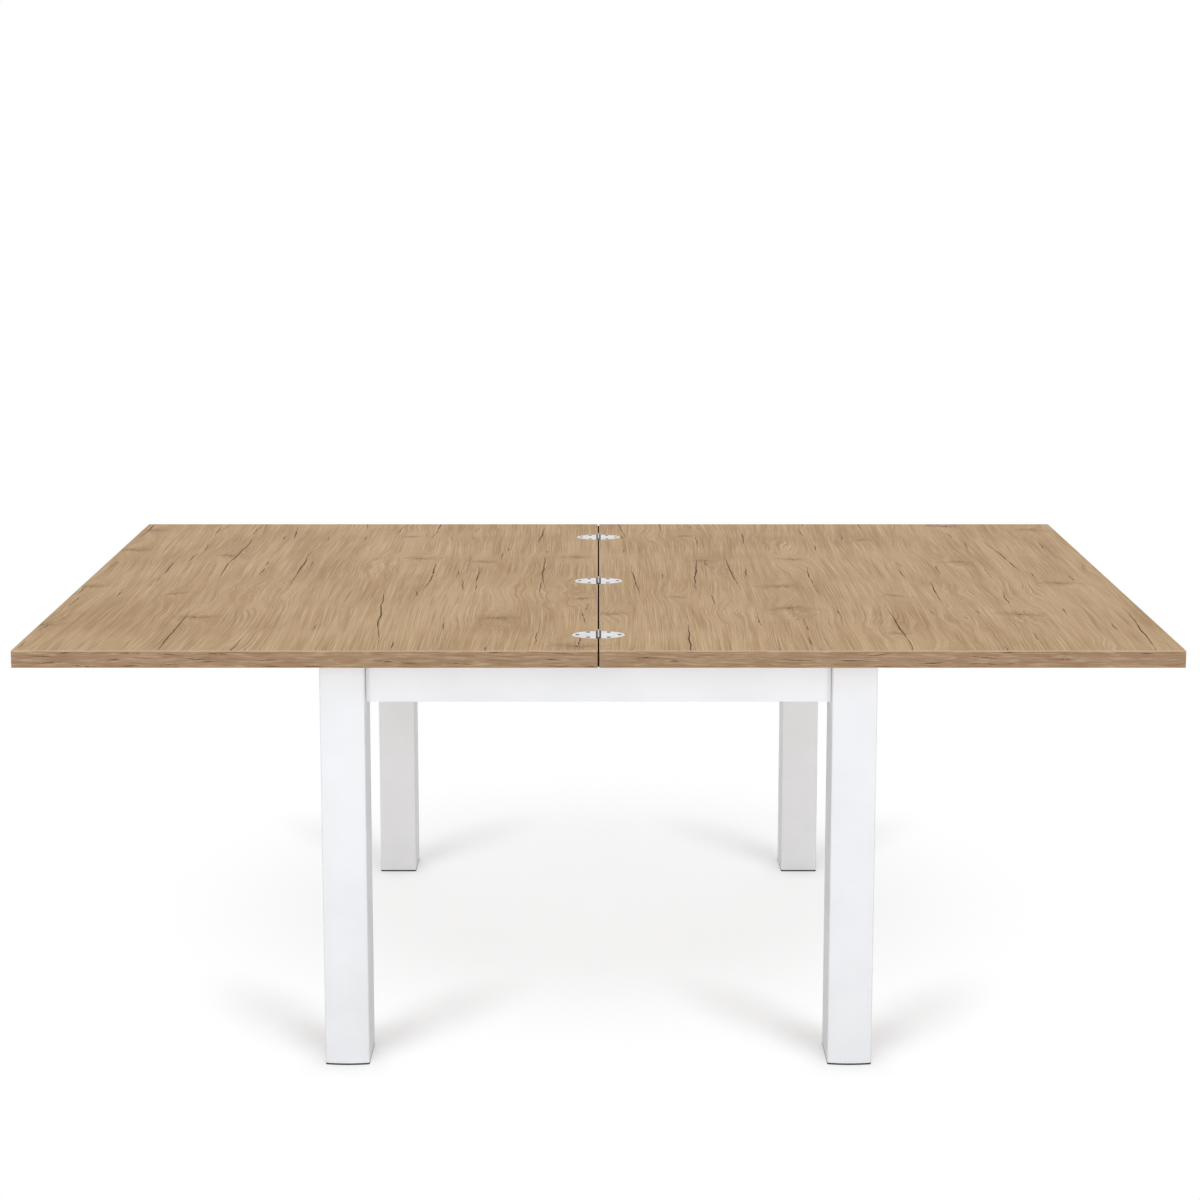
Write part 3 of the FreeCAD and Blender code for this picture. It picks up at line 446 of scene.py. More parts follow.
def oak_decor_edge_band(tree, tones):
    """Melamine edge band with oak printed along its length: matt, a shade greyer than the faces, with short
    dark streaks, and a painted highlight as a pale line along its upper arris."""
    parts = add(tree, SEPARATE, [add(tree, PLACE)])
    front = add(tree, ABOVE, [add(tree, UNSIGNED, [parts[1]]), CAD_BOX[1].y - 1.5 * MM])
    along = add(tree, CHOICE, [front, parts[1], parts[0]])
    side = add(tree, CHOICE, [front, parts[0], parts[1]])
    across = add(tree, TIMES_PLUS, [side, 0.2, parts[2]])
    across = add(tree, TIMES_PLUS, [along, 0.013, across])
    grain = add(tree, COMBINE, [across, along])
    waves = add(tree, NOISE, [stretched(tree, grain, (50 * MM, 120 * MM, 1.0)), 1.0, 2.0])
    flow = add(tree, COMBINE, [add(tree, TIMES_PLUS, [waves, 10 * MM, across]), along])
    pale = streaks(tree, flow, 3.2 * MM, 45 * MM, 0.48, 0.66)
    brown = streaks(tree, flow, 3.6 * MM, 50 * MM, 0.52, 0.68, 3.0)
    wide = streaks(tree, flow, 9.0 * MM, 120 * MM, 0.3, 0.7, 8.0)
    pores = streaks(tree, flow, tones.pore, 14 * tones.pore, 0.35, 0.7, 6.0)
    dark = cracks(tree, flow, width=11 * MM, run=80 * MM, half=1.0 * MM, share=0.6, shift=4.4)
    dark = add(tree, TIMES, [dark, 0.8])

    tone = add(tree, TIMES_PLUS, [pores, 0.35, wide])
    tone = add(tree, RANGE, [tone, 0.1, 1.2, 0.0, 1.0])
    shade = add(tree, BLEND, [tone, tones.band_deep, tones.band])
    shade = add(tree, BLEND, [add(tree, TIMES, [pale, 0.3]), shade, tones.band_pale_and_arris_highlight])
    shade = add(tree, BLEND, [add(tree, TIMES, [brown, 0.6]), shade, tones.oak_smudge])
    shade = add(tree, BLEND, [dark, shade, tones.oak_crack])
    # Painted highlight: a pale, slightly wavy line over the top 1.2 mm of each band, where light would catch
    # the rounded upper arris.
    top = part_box("sliding_leaf_board")[1].z
    height = add(tree, TIMES_PLUS, [waves, 1.2 * MM, parts[2]])
    arris = add(tree, EASED_RANGE, [height, top - 1.2 * MM, top - 0.4 * MM, 0.0, 0.8])
    return {
        "Base Color": add(tree, BLEND, [arris, shade, tones.band_pale_and_arris_highlight]),
        "Roughness": add(tree, RANGE, [pores, 0.0, 1.0, 0.6, 0.48]),
        "Normal": add(tree, BUMP, [add(tree, TIMES_PLUS, [dark, -1.0, pores]), 0.3, 0.15 * MM]),
        "Specular IOR Level": 0.06,
    }


def white_satin_lacquer(tree, tones):
    """Sprayed polyurethane lacquer on beech and fibreboard: an even, slightly cool white with little gloss
    and a faint orange peel."""
    place = add(tree, PLACE)
    cloud = add(tree, NOISE, [place, 1 / (120 * MM), 3.0])
    peel = add(tree, NOISE, [place, 1 / (2.2 * MM), 2.0])
    thin = add(tree, RANGE, [cloud, 0.35, 0.75, 0.0, 1.0])
    return {
        "Base Color": add(tree, BLEND, [thin, tones.lacquer, tones.lacquer_dull]),
        "Roughness": add(tree, RANGE, [cloud, 0.3, 0.7, 0.5, 0.6]),
        "Normal": add(tree, BUMP, [peel, 0.25, 0.06 * MM]),
        "Specular IOR Level": 0.1,
    }


def satin_nickel_plate(tree, tones):
    """Steel brushed and plated with nickel: pale silver with fine marks along the barrel, blurred, drawn-out
    reflections, and painted shade down both flanks of the barrel that leaves its middle paler."""
    place = add(tree, PLACE)
    # The brush marks are drawn coarser than real, to show
    brush = add(tree, NOISE, [stretched(tree, place, (0.35 * MM, 14 * MM, 0.35 * MM)), 1.0, 3.0])
    cloud = add(tree, NOISE, [place, 1 / (14 * MM), 2.0])
    tone = add(tree, TIMES, [add(tree, PLUS, [brush, cloud]), 0.5])
    tone = add(tree, RANGE, [tone, 0.35, 0.65, 0.0, 1.0])
    shade = add(tree, BLEND, [tone, tones.nickel_dull, tones.nickel])
    # Painted shade: a dark tone down both flanks of each barrel, out to the edge of its pocket, with a paler
    # band along the barrel's middle.
    off_seam = add(tree, UNSIGNED, [add(tree, SEPARATE, [place])[0]])
    barrel = add(tree, RANGE, [off_seam, 0.5 * MM, 1.3 * MM, 0.15, 0.92])
    beside = add(tree, RANGE, [off_seam, 4.4 * MM, 5.0 * MM, 1.0, 0.0])
    painted_barrel_shade = add(tree, TIMES, [barrel, beside])
    return {
        "Base Color": add(tree, BLEND, [painted_barrel_shade, shade, tones.painted_barrel_shade]),
        "Metallic": 1.0,
        "Roughness": add(tree, RANGE, [brush, 0.3, 0.7, 0.26, 0.4]),
        "Normal": add(tree, BUMP, [brush, 0.3, 0.03 * MM]),
    }


def dulled_screw_steel(tree, tones):
    """Hardened screw steel with a thin dulled plating: much darker than the hinges, with worn specks."""
    speck = add(tree, NOISE, [add(tree, PLACE), 1 / (1.2 * MM), 4.0])
    worn = add(tree, RANGE, [speck, 0.5, 0.75, 0.0, 0.3])
    return {
        "Base Color": add(tree, BLEND, [worn, tones.screw_steel, tones.nickel_dull]),
        "Metallic": 1.0,
        "Roughness": add(tree, RANGE, [speck, 0.3, 0.7, 0.5, 0.36]),
        "Normal": add(tree, BUMP, [speck, 0.2, 0.03 * MM]),
    }


def zinc_plated_steel(tree, tones):
    """Rolled sheet steel with bright zinc plating: cool grey with a faint frost of crystals and the
    rolling marks along the rails."""
    place = add(tree, PLACE)
    frost = add(tree, CHANNELS, [add(tree, VORONOI, [place, 1 / (5 * MM)])["Color"]])[0]
    roll = add(tree, NOISE, [stretched(tree, place, (40 * MM, 0.8 * MM, 0.8 * MM)), 1.0, 3.0])
    tone = add(tree, RANGE, [add(tree, TIMES_PLUS, [frost, 0.5, roll]), 0.35, 1.1, 0.0, 1.0])
    return {
        "Base Color": add(tree, BLEND, [tone, tones.zinc_dull, tones.zinc]),
        "Metallic": 1.0,
        "Roughness": add(tree, RANGE, [tone, 0.0, 1.0, 0.5, 0.32]),
        "Normal": add(tree, BUMP, [roll, 0.25, 0.03 * MM]),
    }


def moulded(tree, tone, rough_low, rough_high, gloss=0.5):
    """Surface moulded in a spark-eroded tool: a soft, even sheen over a fine pebble."""
    place = add(tree, PLACE)
    # The pebble is drawn coarser than real, to show
    pebble = add(tree, VORONOI, [place, 1 / (0.7 * MM)], feature="SMOOTH_F1")["Distance"]
    flow = add(tree, NOISE, [place, 1 / (18 * MM), 3.0])
    return {
        "Base Color": add(tree, SCALED, [tone[:3], add(tree, RANGE, [flow, 0.3, 0.7, 0.85, 1.15])]),
        "Roughness": add(tree, RANGE, [flow, 0.3, 0.7, rough_low, rough_high]),
        "Normal": add(tree, BUMP, [pebble, 0.3, 0.05 * MM]),
        "Specular IOR Level": gloss,
    }


def moulded_foot_plastic(tree, tones):
    """Moulded polypropylene: dark grey and quite matt."""
    return moulded(tree, tones.plastic, 0.6, 0.75, gloss=0.1)


def moulded_nylon(tree, tones):
    """Moulded nylon: off-white with a waxy sheen."""
    return moulded(tree, tones.nylon, 0.35, 0.5)


def moulded_rubber(tree, tones):
    """Moulded hard rubber: near black with a broad, dull sheen."""
    return moulded(tree, tones.rubber, 0.65, 0.8)


def sponge_rubber(tree, tones):
    """Extruded sponge rubber: brown-black, its open cells without any gloss."""
    return moulded(tree, tones.seam, 0.85, 0.95, gloss=0.0)


def pressed_wool_felt(tree, tones):
    """Pressed wool felt: grey, without gloss, with short fibres that lie every way and a soft edge."""
    place = add(tree, PLACE)
    # The fibres are drawn thicker than real, to show
    fibre = add(tree, NOISE, {"Vector": place, "Scale": 1 / (1.1 * MM), "Detail": 5.0, "Distortion": 2.5})
    tuft = add(tree, NOISE, [place, 1 / (5 * MM), 2.0])
    tone = add(tree, RANGE, [add(tree, TIMES_PLUS, [tuft, 0.5, fibre]), 0.5, 1.0, 0.0, 1.0])
    return {
        "Base Color": add(tree, BLEND, [tone, tones.felt_dark, tones.felt]),
        "Roughness": 0.95,
        "Normal": add(tree, BUMP, [fibre, 0.8, 0.3 * MM]),
        "Sheen Weight": 0.3,
    }


def raw_beech(tree, tones):
    """Turned beech, left raw, its tone darkened as painted shade so that the dowels read dark through the
    apron joints: mid brown with short dark flecks along the dowel.
    """
    fleck = add(tree, NOISE, [add(tree, PLACE), 1 / (1.5 * MM), 3.0])
    dark = add(tree, RANGE, [fleck, 0.55, 0.7, 0.0, 0.7])
    return {
        "Base Color": add(tree, BLEND, [dark, tones.beech, tones.beech_fleck]),
        "Roughness": 0.7,
        "Normal": add(tree, BUMP, [fleck, 0.3, 0.1 * MM]),
    }


def dress(material, *nodes):
    """Gives nodes of the frame a finish."""
    for node in nodes:
        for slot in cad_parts[node].material_slots:
            slot.material = material


def stacked(rings, looped=False):
    """Mesh over rings of points, all with as many points, capped at both ends or looped into a tube."""
    mesh = bmesh.new()
    rows = [[mesh.verts.new(point) for point in ring] for ring in rings]
    pairs = list(zip(rows, rows[1:]))
    if looped:
        pairs.append((rows[-1], rows[0]))
    else:
        mesh.faces.new(reversed(rows[0]))
        mesh.faces.new(rows[-1])
    for low, high in pairs:
        for place in range(len(low)):
            after = (place + 1) % len(low)
            mesh.faces.new((low[place], low[after], high[after], high[place]))
    bmesh.ops.remove_doubles(mesh, verts=mesh.verts, dist=WELD)
    bmesh.ops.dissolve_degenerate(mesh, edges=mesh.edges, dist=WELD)
    bmesh.ops.recalc_face_normals(mesh, faces=mesh.faces)
    return mesh


def piece_from(mesh, name, material, crease=35):
    """Object from an edited mesh, smooth but for edges sharper than a crease angle in degrees."""
    data = bpy.data.meshes.new(name)
    mesh.to_mesh(data)
    mesh.free()
    data.polygons.foreach_set("use_smooth", [True] * len(data.polygons))
    data.set_sharp_from_angle(angle=radians(crease))
    data.materials.append(material)
    piece = bpy.data.objects.new(name, data)
    bpy.context.scene.collection.objects.link(piece)
    return piece


def stand_in(piece, body, slot, *nodes):
    """Puts a piece on a body in place of nodes of the frame."""
    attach(piece, body)
    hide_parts(*nodes)


def rounding(size):
    """Insets and depths of the rings that round off the edge of an end, from the end inwards."""
    return [(size, 0.0), (KNEE * size, KNEE * size), (0.0, size)]


def leg_section(half, crown, corner, flat):
    """Leg's section about its middle, its crowned outward sides towards +X and +Y, as points in order, with
    a point at each end of the flat that its inner corner is cut to beside the aprons."""
    side_steps = 8
    corner_steps = 6
    outer = half - crown
    cut = flat - half
    middle = (outer - half) / 2
    reach = (outer + half) / 2
    shares = [2 * step / side_steps - 1 for step in range(1, side_steps)]
    side = [(outer + crown * (1 - share ** 2), middle + reach * share) for share in shares]
    other_side = [(y, x) for x, y in reversed(side)]
    inner, right, outward, left = (-half, -half), (outer, -half), (outer, outer), (-half, outer)
    outline = [inner, (cut, -half), right, *side, outward, *other_side, left, (-half, cut)]
    mesh = bmesh.new()
    verts = [mesh.verts.new((x, y, 0)) for x, y in outline]
    mesh.faces.new(verts)
    corners = [verts[outline.index(point)] for point in (inner, right, outward, left)]
    bmesh.ops.bevel(
        mesh, geom=corners, offset=corner, affect="VERTICES", segments=corner_steps, profile=0.5,
    )
    face = next(iter(mesh.faces))
    points = [vert.co.to_2d() for vert in face.verts]
    mesh.free()
    return points


def cut_corner(points, half, flat):
    """Section with its inner corner cut off by a flat."""
    limit = flat - 2 * half
    return [
        point * (limit / (point.x + point.y)) if point.x + point.y < limit else point for point in points
    ]


def shrunk(points, half, inset):
    """Section drawn in by an inset."""
    return [point * (1 - inset / half) for point in points]


def circle(points, radius):
    """Circle with a point in the direction of each point of a section."""
    return [point.normalized() * radius for point in points]


class LegPlace:
    """Where a leg stands: its middle, its outward directions, its half size and its ends."""

    def __init__(self, corner):
        low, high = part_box("leg_" + corner)
        self.middle = (low + high) / 2
        self.side = Vector((1 if self.middle.x > 0 else -1, 1 if self.middle.y > 0 else -1))
        self.half = (high.x - low.x) / 2
        self.foot = low.z
        self.top = high.z

    def ring(self, points, height):
        """Points of a section at a height."""
        flat = self.middle.to_2d()
        return [Vector((*(flat + self.side * point), height)) for point in points]

    def section(self):
        """The leg's full section."""
        form = bpy.context.scene.table_form
        return leg_section(self.half, form.leg_crown, form.leg_round, form.leg_flat)


class BuildLegs(Operator):
    """Four white legs with crowned outward sides, seats for the pads and foot stems, and bolt flats"""
    bl_idname = "table.build_legs"
    bl_label = "Legs"

    def execute(self, context):
        form = context.scene.table_form
        lacquer = finish(white_satin_lacquer)
        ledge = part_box("apron_front")[0].z
        pad_low, pad_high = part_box("leaf_pad_front_left")
        seat = (pad_high.x - pad_low.x) / 2 + form.fit
        stem = form.stem_radius + form.fit
        edge = rounding(form.leg_arris)
        for corner in CORNERS:
            leg = LegPlace(corner)
            full = leg.section()
            cut = cut_corner(full, leg.half, form.leg_flat)
            stem_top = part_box("foot_glide_" + corner)[1].z + form.fit
            rings = [
                leg.ring(circle(full, stem), stem_top),
                leg.ring(circle(full, stem), leg.foot),
                *[leg.ring(shrunk(full, leg.half, inset), leg.foot + depth) for inset, depth in edge],
                leg.ring(full, ledge),
                leg.ring(cut, ledge),
                *[leg.ring(shrunk(cut, leg.half, inset), leg.top - depth) for inset, depth in reversed(edge)],
                leg.ring(circle(full, seat), leg.top),
                leg.ring(circle(full, seat), pad_low.z),
            ]
            piece = piece_from(stacked(rings), "leg_" + corner + "_lacquered", lacquer)
            stand_in(piece, "frame", "white_lacquer", "leg_" + corner)
        return {"FINISHED"}


class BuildFeet(Operator):
    """Moulded foot glides under the legs, each with a rounded edge and a stem"""
    bl_idname = "table.build_feet"
    bl_label = "Foot glides"

    def execute(self, context):
        form = context.scene.table_form
        plastic = finish(moulded_foot_plastic)
        edge = rounding(form.foot_arris)
        for corner in CORNERS:
            leg = LegPlace(corner)
            low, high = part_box("foot_glide_" + corner)
            plate = shrunk(leg.section(), leg.half, form.foot_inset)
            half = leg.half - form.foot_inset
            rings = [
                *[leg.ring(shrunk(plate, half, inset), low.z + depth) for inset, depth in edge],
                leg.ring(plate, leg.foot),
                leg.ring(circle(plate, form.stem_radius), leg.foot),
                leg.ring(circle(plate, form.stem_radius), high.z - form.foot_arris),
                leg.ring(circle(plate, form.stem_radius - form.foot_arris), high.z),
            ]
            piece = piece_from(stacked(rings), "foot_glide_" + corner + "_moulded", plastic)
            stand_in(piece, "frame", "black_plastic", "foot_glide_" + corner)
        return {"FINISHED"}


class BuildPads(Operator):
    """Felt discs let into the leg tops, which the leaves rest and slide on"""
    bl_idname = "table.build_pads"
    bl_label = "Felt pads"

    def execute(self, context):
        form = context.scene.table_form
        felt = finish(pressed_wool_felt)
        steps = 64
        around = [Vector((cos(tau * step / steps), sin(tau * step / steps))) for step in range(steps)]
        edge = rounding(form.pad_arris)
        for corner in CORNERS:
            leg = LegPlace(corner)
            low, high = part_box("leaf_pad_" + corner)
            radius = (high.x - low.x) / 2
            top = high.z - form.pad_play
            # The last ring halves the flat top, which keeps its shading even
            rings = [
                leg.ring(circle(around, radius), low.z),
                *[leg.ring(circle(around, radius - inset), top - depth) for inset, depth in reversed(edge)],
                leg.ring(circle(around, 0.5 * radius), top),
            ]
            piece = piece_from(stacked(rings), "leaf_pad_" + corner + "_felt", felt, crease=60)
            stand_in(piece, "frame", "grey_felt", "leaf_pad_" + corner)
        return {"FINISHED"}


def rounded_bar(wide, tall, edge, inset):
    """Section of a bar with rounded edges, drawn in by an inset, about its middle as points in order."""
    steps = 4
    points = []
    for quarter, (side, up) in enumerate(((1, 1), (-1, 1), (-1, -1), (1, -1))):
        for step in range(steps + 1):
            turn = (quarter + step / steps) * pi / 2
            across = side * (wide / 2 - edge) + (edge - inset) * cos(turn)
            height = up * (tall / 2 - edge) + (edge - inset) * sin(turn)
            points.append((across, height))
    return points


class BuildAprons(Operator):
    """White aprons between the legs, with a fine open joint at each end, and the dowels that hold them"""
    bl_idname = "table.build_aprons"
    bl_label = "Aprons"

    def execute(self, context):
        form = context.scene.table_form
        lacquer = finish(white_satin_lacquer)
        arris = form.apron_arris
        for node in APRONS:
            low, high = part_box(node)
            size = high - low
            middle = (low + high) / 2
            run, across = (0, 1) if size.x > size.y else (1, 0)
            end = size[run] / 2 - form.apron_gap
            rings = []
            for reach, inset in ((-end, arris), (arris - end, 0.0), (end - arris, 0.0), (end, arris)):
                ring = []
                for wide, tall in rounded_bar(size[across], size.z, form.apron_edge, inset):
                    point = Vector((0, 0, tall))
                    point[run] = reach
                    point[across] = wide
                    ring.append(middle + point)
                rings.append(ring)
            piece = piece_from(stacked(rings), node + "_lacquered", lacquer)
            stand_in(piece, "frame", "white_lacquer", node)
        dress(finish(raw_beech), "apron_dowels")
        return {"FINISHED"}


class DressLeaves(Operator):
    """Two oak-faced leaves with their edge bands"""
    bl_idname = "table.dress_leaves"
    bl_label = "Leaves"

    def execute(self, context):
        dress(finish(oak_decor_melamine), "sliding_leaf_board", "folding_leaf_board")
        dress(finish(oak_decor_edge_band), "sliding_leaf_edge_bands", "folding_leaf_edge_bands")
        return {"FINISHED"}


class DressHinges(Operator):
    """Oval hinge plates with their knuckles and pins"""
    bl_idname = "table.dress_hinges"
    bl_label = "Hinges"

    def execute(self, context):
        nickel = finish(satin_nickel_plate)
        for row in HINGES:
            plate = "hinge_plate_" + row
            dress(nickel, plate + "_left", plate + "_right", "hinge_pin_" + row)
        return {"FINISHED"}


class DressSlides(Operator):
    """Guide rails with their stops, the brackets and shoes that run in them, and the corner brackets"""
    bl_idname = "table.dress_slides"
    bl_label = "Slides"

    def execute(self, context):
        zinc = finish(zinc_plated_steel)
        nylon = finish(moulded_nylon)
        rubber = finish(moulded_rubber)
        for side in ("front", "rear"):
            dress(zinc, "guide_rail_" + side, "slide_bracket_" + side)
            dress(nylon, "slide_shoe_" + side + "_left", "slide_shoe_" + side + "_right")
        for corner in CORNERS:
            dress(zinc, "corner_bracket_" + corner)
            dress(rubber, "rail_stop_" + corner)
        return {"FINISHED"}


class BuildSeamStrip(Operator):
    """Rubber strip on the sliding leaf's edge in the seam, with two soft lips against the folding leaf"""
    bl_idname = "table.build_seam_strip"
    bl_label = "Seam strip"

    def execute(self, context):
        form = context.scene.table_form
        low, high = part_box("seam_strip")
        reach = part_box("folding_leaf_edge_bands")[0].x - form.strip_play
        lip = form.strip_lip
        rising = [(high.x, 0.0), (reach, 0.3 * lip), (reach, 0.5 * lip), (high.x, lip)]
        outline = [
            (low.x, low.z),
            *[(x, low.z + rise) for x, rise in rising],
            *[(x, high.z - rise) for x, rise in reversed(rising)],
            (low.x, high.z),
        ]
        rings = [[Vector((x, y, z)) for x, z in outline] for y in (low.y, high.y)]
        piece = piece_from(stacked(rings), "seam_strip_lipped", finish(sponge_rubber), crease=20)
        stand_in(piece, "sliding_leaf", "black_rubber", "seam_strip")
        return {"FINISHED"}


def mean_place(points):
    """Mean of points, rounded to a hundredth of a millimetre, by which solids are put in order."""
    return [round(value, 5) for value in sum(points, Vector()) / len(points)]


def solids_of(node):
    """Corner points of each separate solid in a node, in order of their places."""
    mesh = bmesh.new()
    mesh.from_mesh(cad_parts[node].data)
    bmesh.ops.remove_doubles(mesh, verts=mesh.verts, dist=CAD_WELD)
    left = set(mesh.verts)
    solids = []
    while left:
        found = {left.pop()}
        edge = list(found)
        while edge:
            vert = edge.pop()
            for other in (link.other_vert(vert) for link in vert.link_edges):
                if other in left:
                    left.remove(other)
                    found.add(other)
                    edge.append(other)
        solids.append([vert.co.copy() for vert in found])
    mesh.free()
    return sorted(solids, key=mean_place)


def ends_along(points, axis):
    """Lowest and highest reach of points along an axis."""
    reach = [point.dot(axis) for point in points]
    return min(reach), max(reach)


def middle_of(points):
    """Middle of the points' box."""
    low = Vector(map(min, *points))
    high = Vector(map(max, *points))
    return (low + high) / 2


def screw_seats(node, rise):
    """Seat under each screw's head in a node, the way its head points and its length below the seat. The
    head is at the end with more of the screw's points."""
    seats = []
    for points in solids_of(node):
        size = Vector(map(max, *points)) - Vector(map(min, *points))
        axis = Vector([1.0 if extent == max(size) else 0.0 for extent in size])
        start, end = ends_along(points, axis)
        share = sum(1 for point in points if point.dot(axis) > (start + end) / 2) / len(points)
        if share < 0.5:
            axis = -axis
        start, end = ends_along(points, axis)
        middle = middle_of(points)
        seat = middle + axis * (end - rise - middle.dot(axis))
        seats.append((seat, axis, end - rise - start))
    return seats


def corner_seats(node):
    """Outer end of each corner fastener in a node, the way it points into the frame, and its length."""
    seats = []
    for points in solids_of(node):
        middle = middle_of(points)
        axis = Vector((-1 if middle.x > 0 else 1, -1 if middle.y > 0 else 1, 0)).normalized()
        start, end = ends_along(points, axis)
        seats.append((middle + axis * (start - middle.dot(axis)), axis, end - start))
    return seats


def crossed(arm, half, share=1.0):
    """Radius of a cross recess as a function of the direction, from its arms' reach and half width, all
    drawn in to a share."""
    def reach(turn):
        off = (turn + pi / 4) % (pi / 2) - pi / 4
        return share * min(arm / cos(off), half / max(abs(sin(off)), 1e-6))

    return reach


def six_sided(flat, limit):
    """Radius of a hexagon whose corners are turned down to a limit, as a function of the direction."""
    def reach(turn):
        off = (turn + pi / 6) % (pi / 3) - pi / 6
        return min(flat / cos(off), limit)

    return reach


def spun(radius, height, steps):
    """Ring about Z at a height, whose radius may be a function of the direction."""
    ring = []
    for step in range(steps):
        turn = tau * step / steps
        reach = radius(turn) if callable(radius) else radius
        ring.append(Vector((reach * cos(turn), reach * sin(turn), height)))
    return ring


def turned(profile, steps=48):
    """Rings about Z from pairs of a radius and a height."""
    return [spun(radius, height, steps) for radius, height in profile]


def pan_head(rise, shank):
    """Domed head of unit radius, with a cross recess."""
    recess = {"arm": 0.56, "half": 0.13}
    return stacked(turned([
        (shank, 0.0), (0.97, 0.0), (1.0, 0.06 * rise), (1.0, 0.3 * rise), (0.95, 0.55 * rise),
        (0.85, 0.78 * rise), (0.72, 0.94 * rise), (0.62, rise),
        (crossed(**recess), rise), (crossed(**recess, share=0.55), 0.4 * rise),
    ]))


def flush_head(shank):
    """Countersunk head of unit radius, with a cross recess."""
    recess = {"arm": 0.64, "half": 0.14}
    return stacked(turned([
        (shank, shank - 1), (0.97, -0.03), (0.975, -0.01), (0.94, 0.0),
        (crossed(**recess), 0.0), (crossed(**recess, share=0.5), -0.33),
    ]))


def screw_shank():
    """Shank of unit radius and length below Z = 0, tapered to a point."""
    return stacked(turned([(1.0, 0.0), (1.0, -0.8), (0.6, -0.9), (0.08, -1.0)], 20))


def hex_nut(flats, bore, tall):
    """Hexagon nut with chamfered corners."""
    flat = flats / 2
    rim = six_sided(flat, 1.02 * flat)
    wall = six_sided(flat, 1.11 * flat)
    return stacked(turned([
        (bore, 0.0), (rim, 0.0), (wall, 0.1 * tall), (wall, 0.9 * tall), (rim, tall), (bore, tall),
    ], 72), looped=True)


def washer(radius, bore, tall):
    """Flat washer with a stamped, rounded edge."""
    return stacked(turned([
        (bore, 0.0), (radius, 0.0), (radius, 0.6 * tall), (0.96 * radius, tall), (1.04 * bore, tall),
        (bore, 0.85 * tall),
    ], 64), looped=True)


def threaded_bolt(radius, pitch, run):
    """Bolt with a helical thread over its whole run, drawn in a little at both ends."""
    steps = 24
    rows_per_turn = 6
    rows = ceil(run / pitch * rows_per_turn)
    depth = 0.12 * radius

    def thread(height):
        """Radius at a height, as a function of the direction."""
        full = min(1.0, (min(height, run - height) + 0.4 * pitch) / (1.2 * pitch))

        def reach(turn):
            ridge = abs(2 * ((height / pitch - turn / tau) % 1) - 1)
            return (radius - depth * (1 - ridge)) * (0.7 + 0.3 * full)

        return reach

    heights = [run * row / rows for row in range(rows + 1)]
    return stacked([spun(thread(height), height, steps) for height in heights])


def fastener_tree():
    """Node tree that sets a head and a shank on each point, along the point's axis, each turned by chance."""
    tree = bpy.data.node_groups.new("Fasteners", "GeometryNodeTree")
    sockets = {
        "Geometry": "NodeSocketGeometry", "Head": "NodeSocketObject", "Shank": "NodeSocketObject",
        "Head Size": "NodeSocketFloat", "Shank Radius": "NodeSocketFloat", "Length": "NodeSocketFloat",
        "Turn": "NodeSocketFloat", "Seed": "NodeSocketInt", "Material": "NodeSocketMaterial",
    }
    for name, kind in sockets.items():
        tree.interface.new_socket(name, in_out="INPUT", socket_type=kind)
    tree.interface.new_socket("Geometry", in_out="OUTPUT", socket_type="NodeSocketGeometry")
    given = add(tree, Kind("NodeGroupInput", output=None))
    axis = add(tree, "GeometryNodeInputNamedAttribute", {"Name": "axis"}, data_type="FLOAT_VECTOR")
    upright = add(tree, "FunctionNodeAlignRotationToVector", {"Vector": axis}, axis="Z")
    chance = Kind("FunctionNodeRandomValue", {"data_type": "FLOAT"}, (2, 3, "Seed"), 1)
    spin = add(tree, chance, [0.0, given["Turn"], given["Seed"]])
    spin = add(tree, "FunctionNodeAxisAngleToRotation", {"Axis": (0, 0, 1), "Angle": spin})
    turn = add(tree, "FunctionNodeRotateRotation", [upright, spin], rotation_space="LOCAL")
    head_scale = add(tree, COMBINE, [given["Head Size"]] * 3)
    shank_scale = add(tree, COMBINE, [given["Shank Radius"], given["Shank Radius"], given["Length"]])
    joined = add(tree, "GeometryNodeJoinGeometry")
    for name, scale in (("Head", head_scale), ("Shank", shank_scale)):
        shape = add(tree, Kind("GeometryNodeObjectInfo", output="Geometry"), [given[name]])
        placed = add(tree, "GeometryNodeInstanceOnPoints", {
            "Points": given["Geometry"], "Instance": shape, "Rotation": turn, "Scale": scale,
        })
        tree.links.new(placed, joined.node.inputs[0])
    real = add(tree, "GeometryNodeRealizeInstances", [joined])
    coated = add(tree, "GeometryNodeSetMaterial", {"Geometry": real, "Material": given["Material"]})
    add(tree, Kind("NodeGroupOutput", output=None), [coated])
    return tree


def set_fasteners(name, seats, material, body, slot, node, **inputs):
    """One piece with a fastener on each seat, in place of a node. Input names have underscores for spaces."""
    tree = bpy.data.node_groups.get("Fasteners") or fastener_tree()
    data = bpy.data.meshes.new(name + "_points")
    data.from_pydata([seat for seat, axis, run in seats], [], [])
    axes = data.attributes.new("axis", "FLOAT_VECTOR", "POINT")
    axes.data.foreach_set("vector", [value for seat, axis, run in seats for value in axis])
    piece = bpy.data.objects.new(name, data)
    bpy.context.scene.collection.objects.link(piece)
    modifier = piece.modifiers.new("Fasteners", "NODES")
    modifier.node_group = tree
    values = {"Material": material, "Length": seats[0][2], **inputs}
    named = {key.replace("_", " "): value for key, value in values.items()}
    for socket in tree.interface.items_tree:
        if socket.in_out == "INPUT" and socket.name in named:
            modifier[socket.identifier] = named[socket.name]
    bpy.context.view_layer.update()
    evaluated = piece.evaluated_get(bpy.context.evaluated_depsgraph_get())
    solid = bpy.data.meshes.new_from_object(evaluated)
    piece.modifiers.remove(modifier)
    piece.data = solid
    solid.name = name
    bpy.data.meshes.remove(data)
    stand_in(piece, body, slot, node)


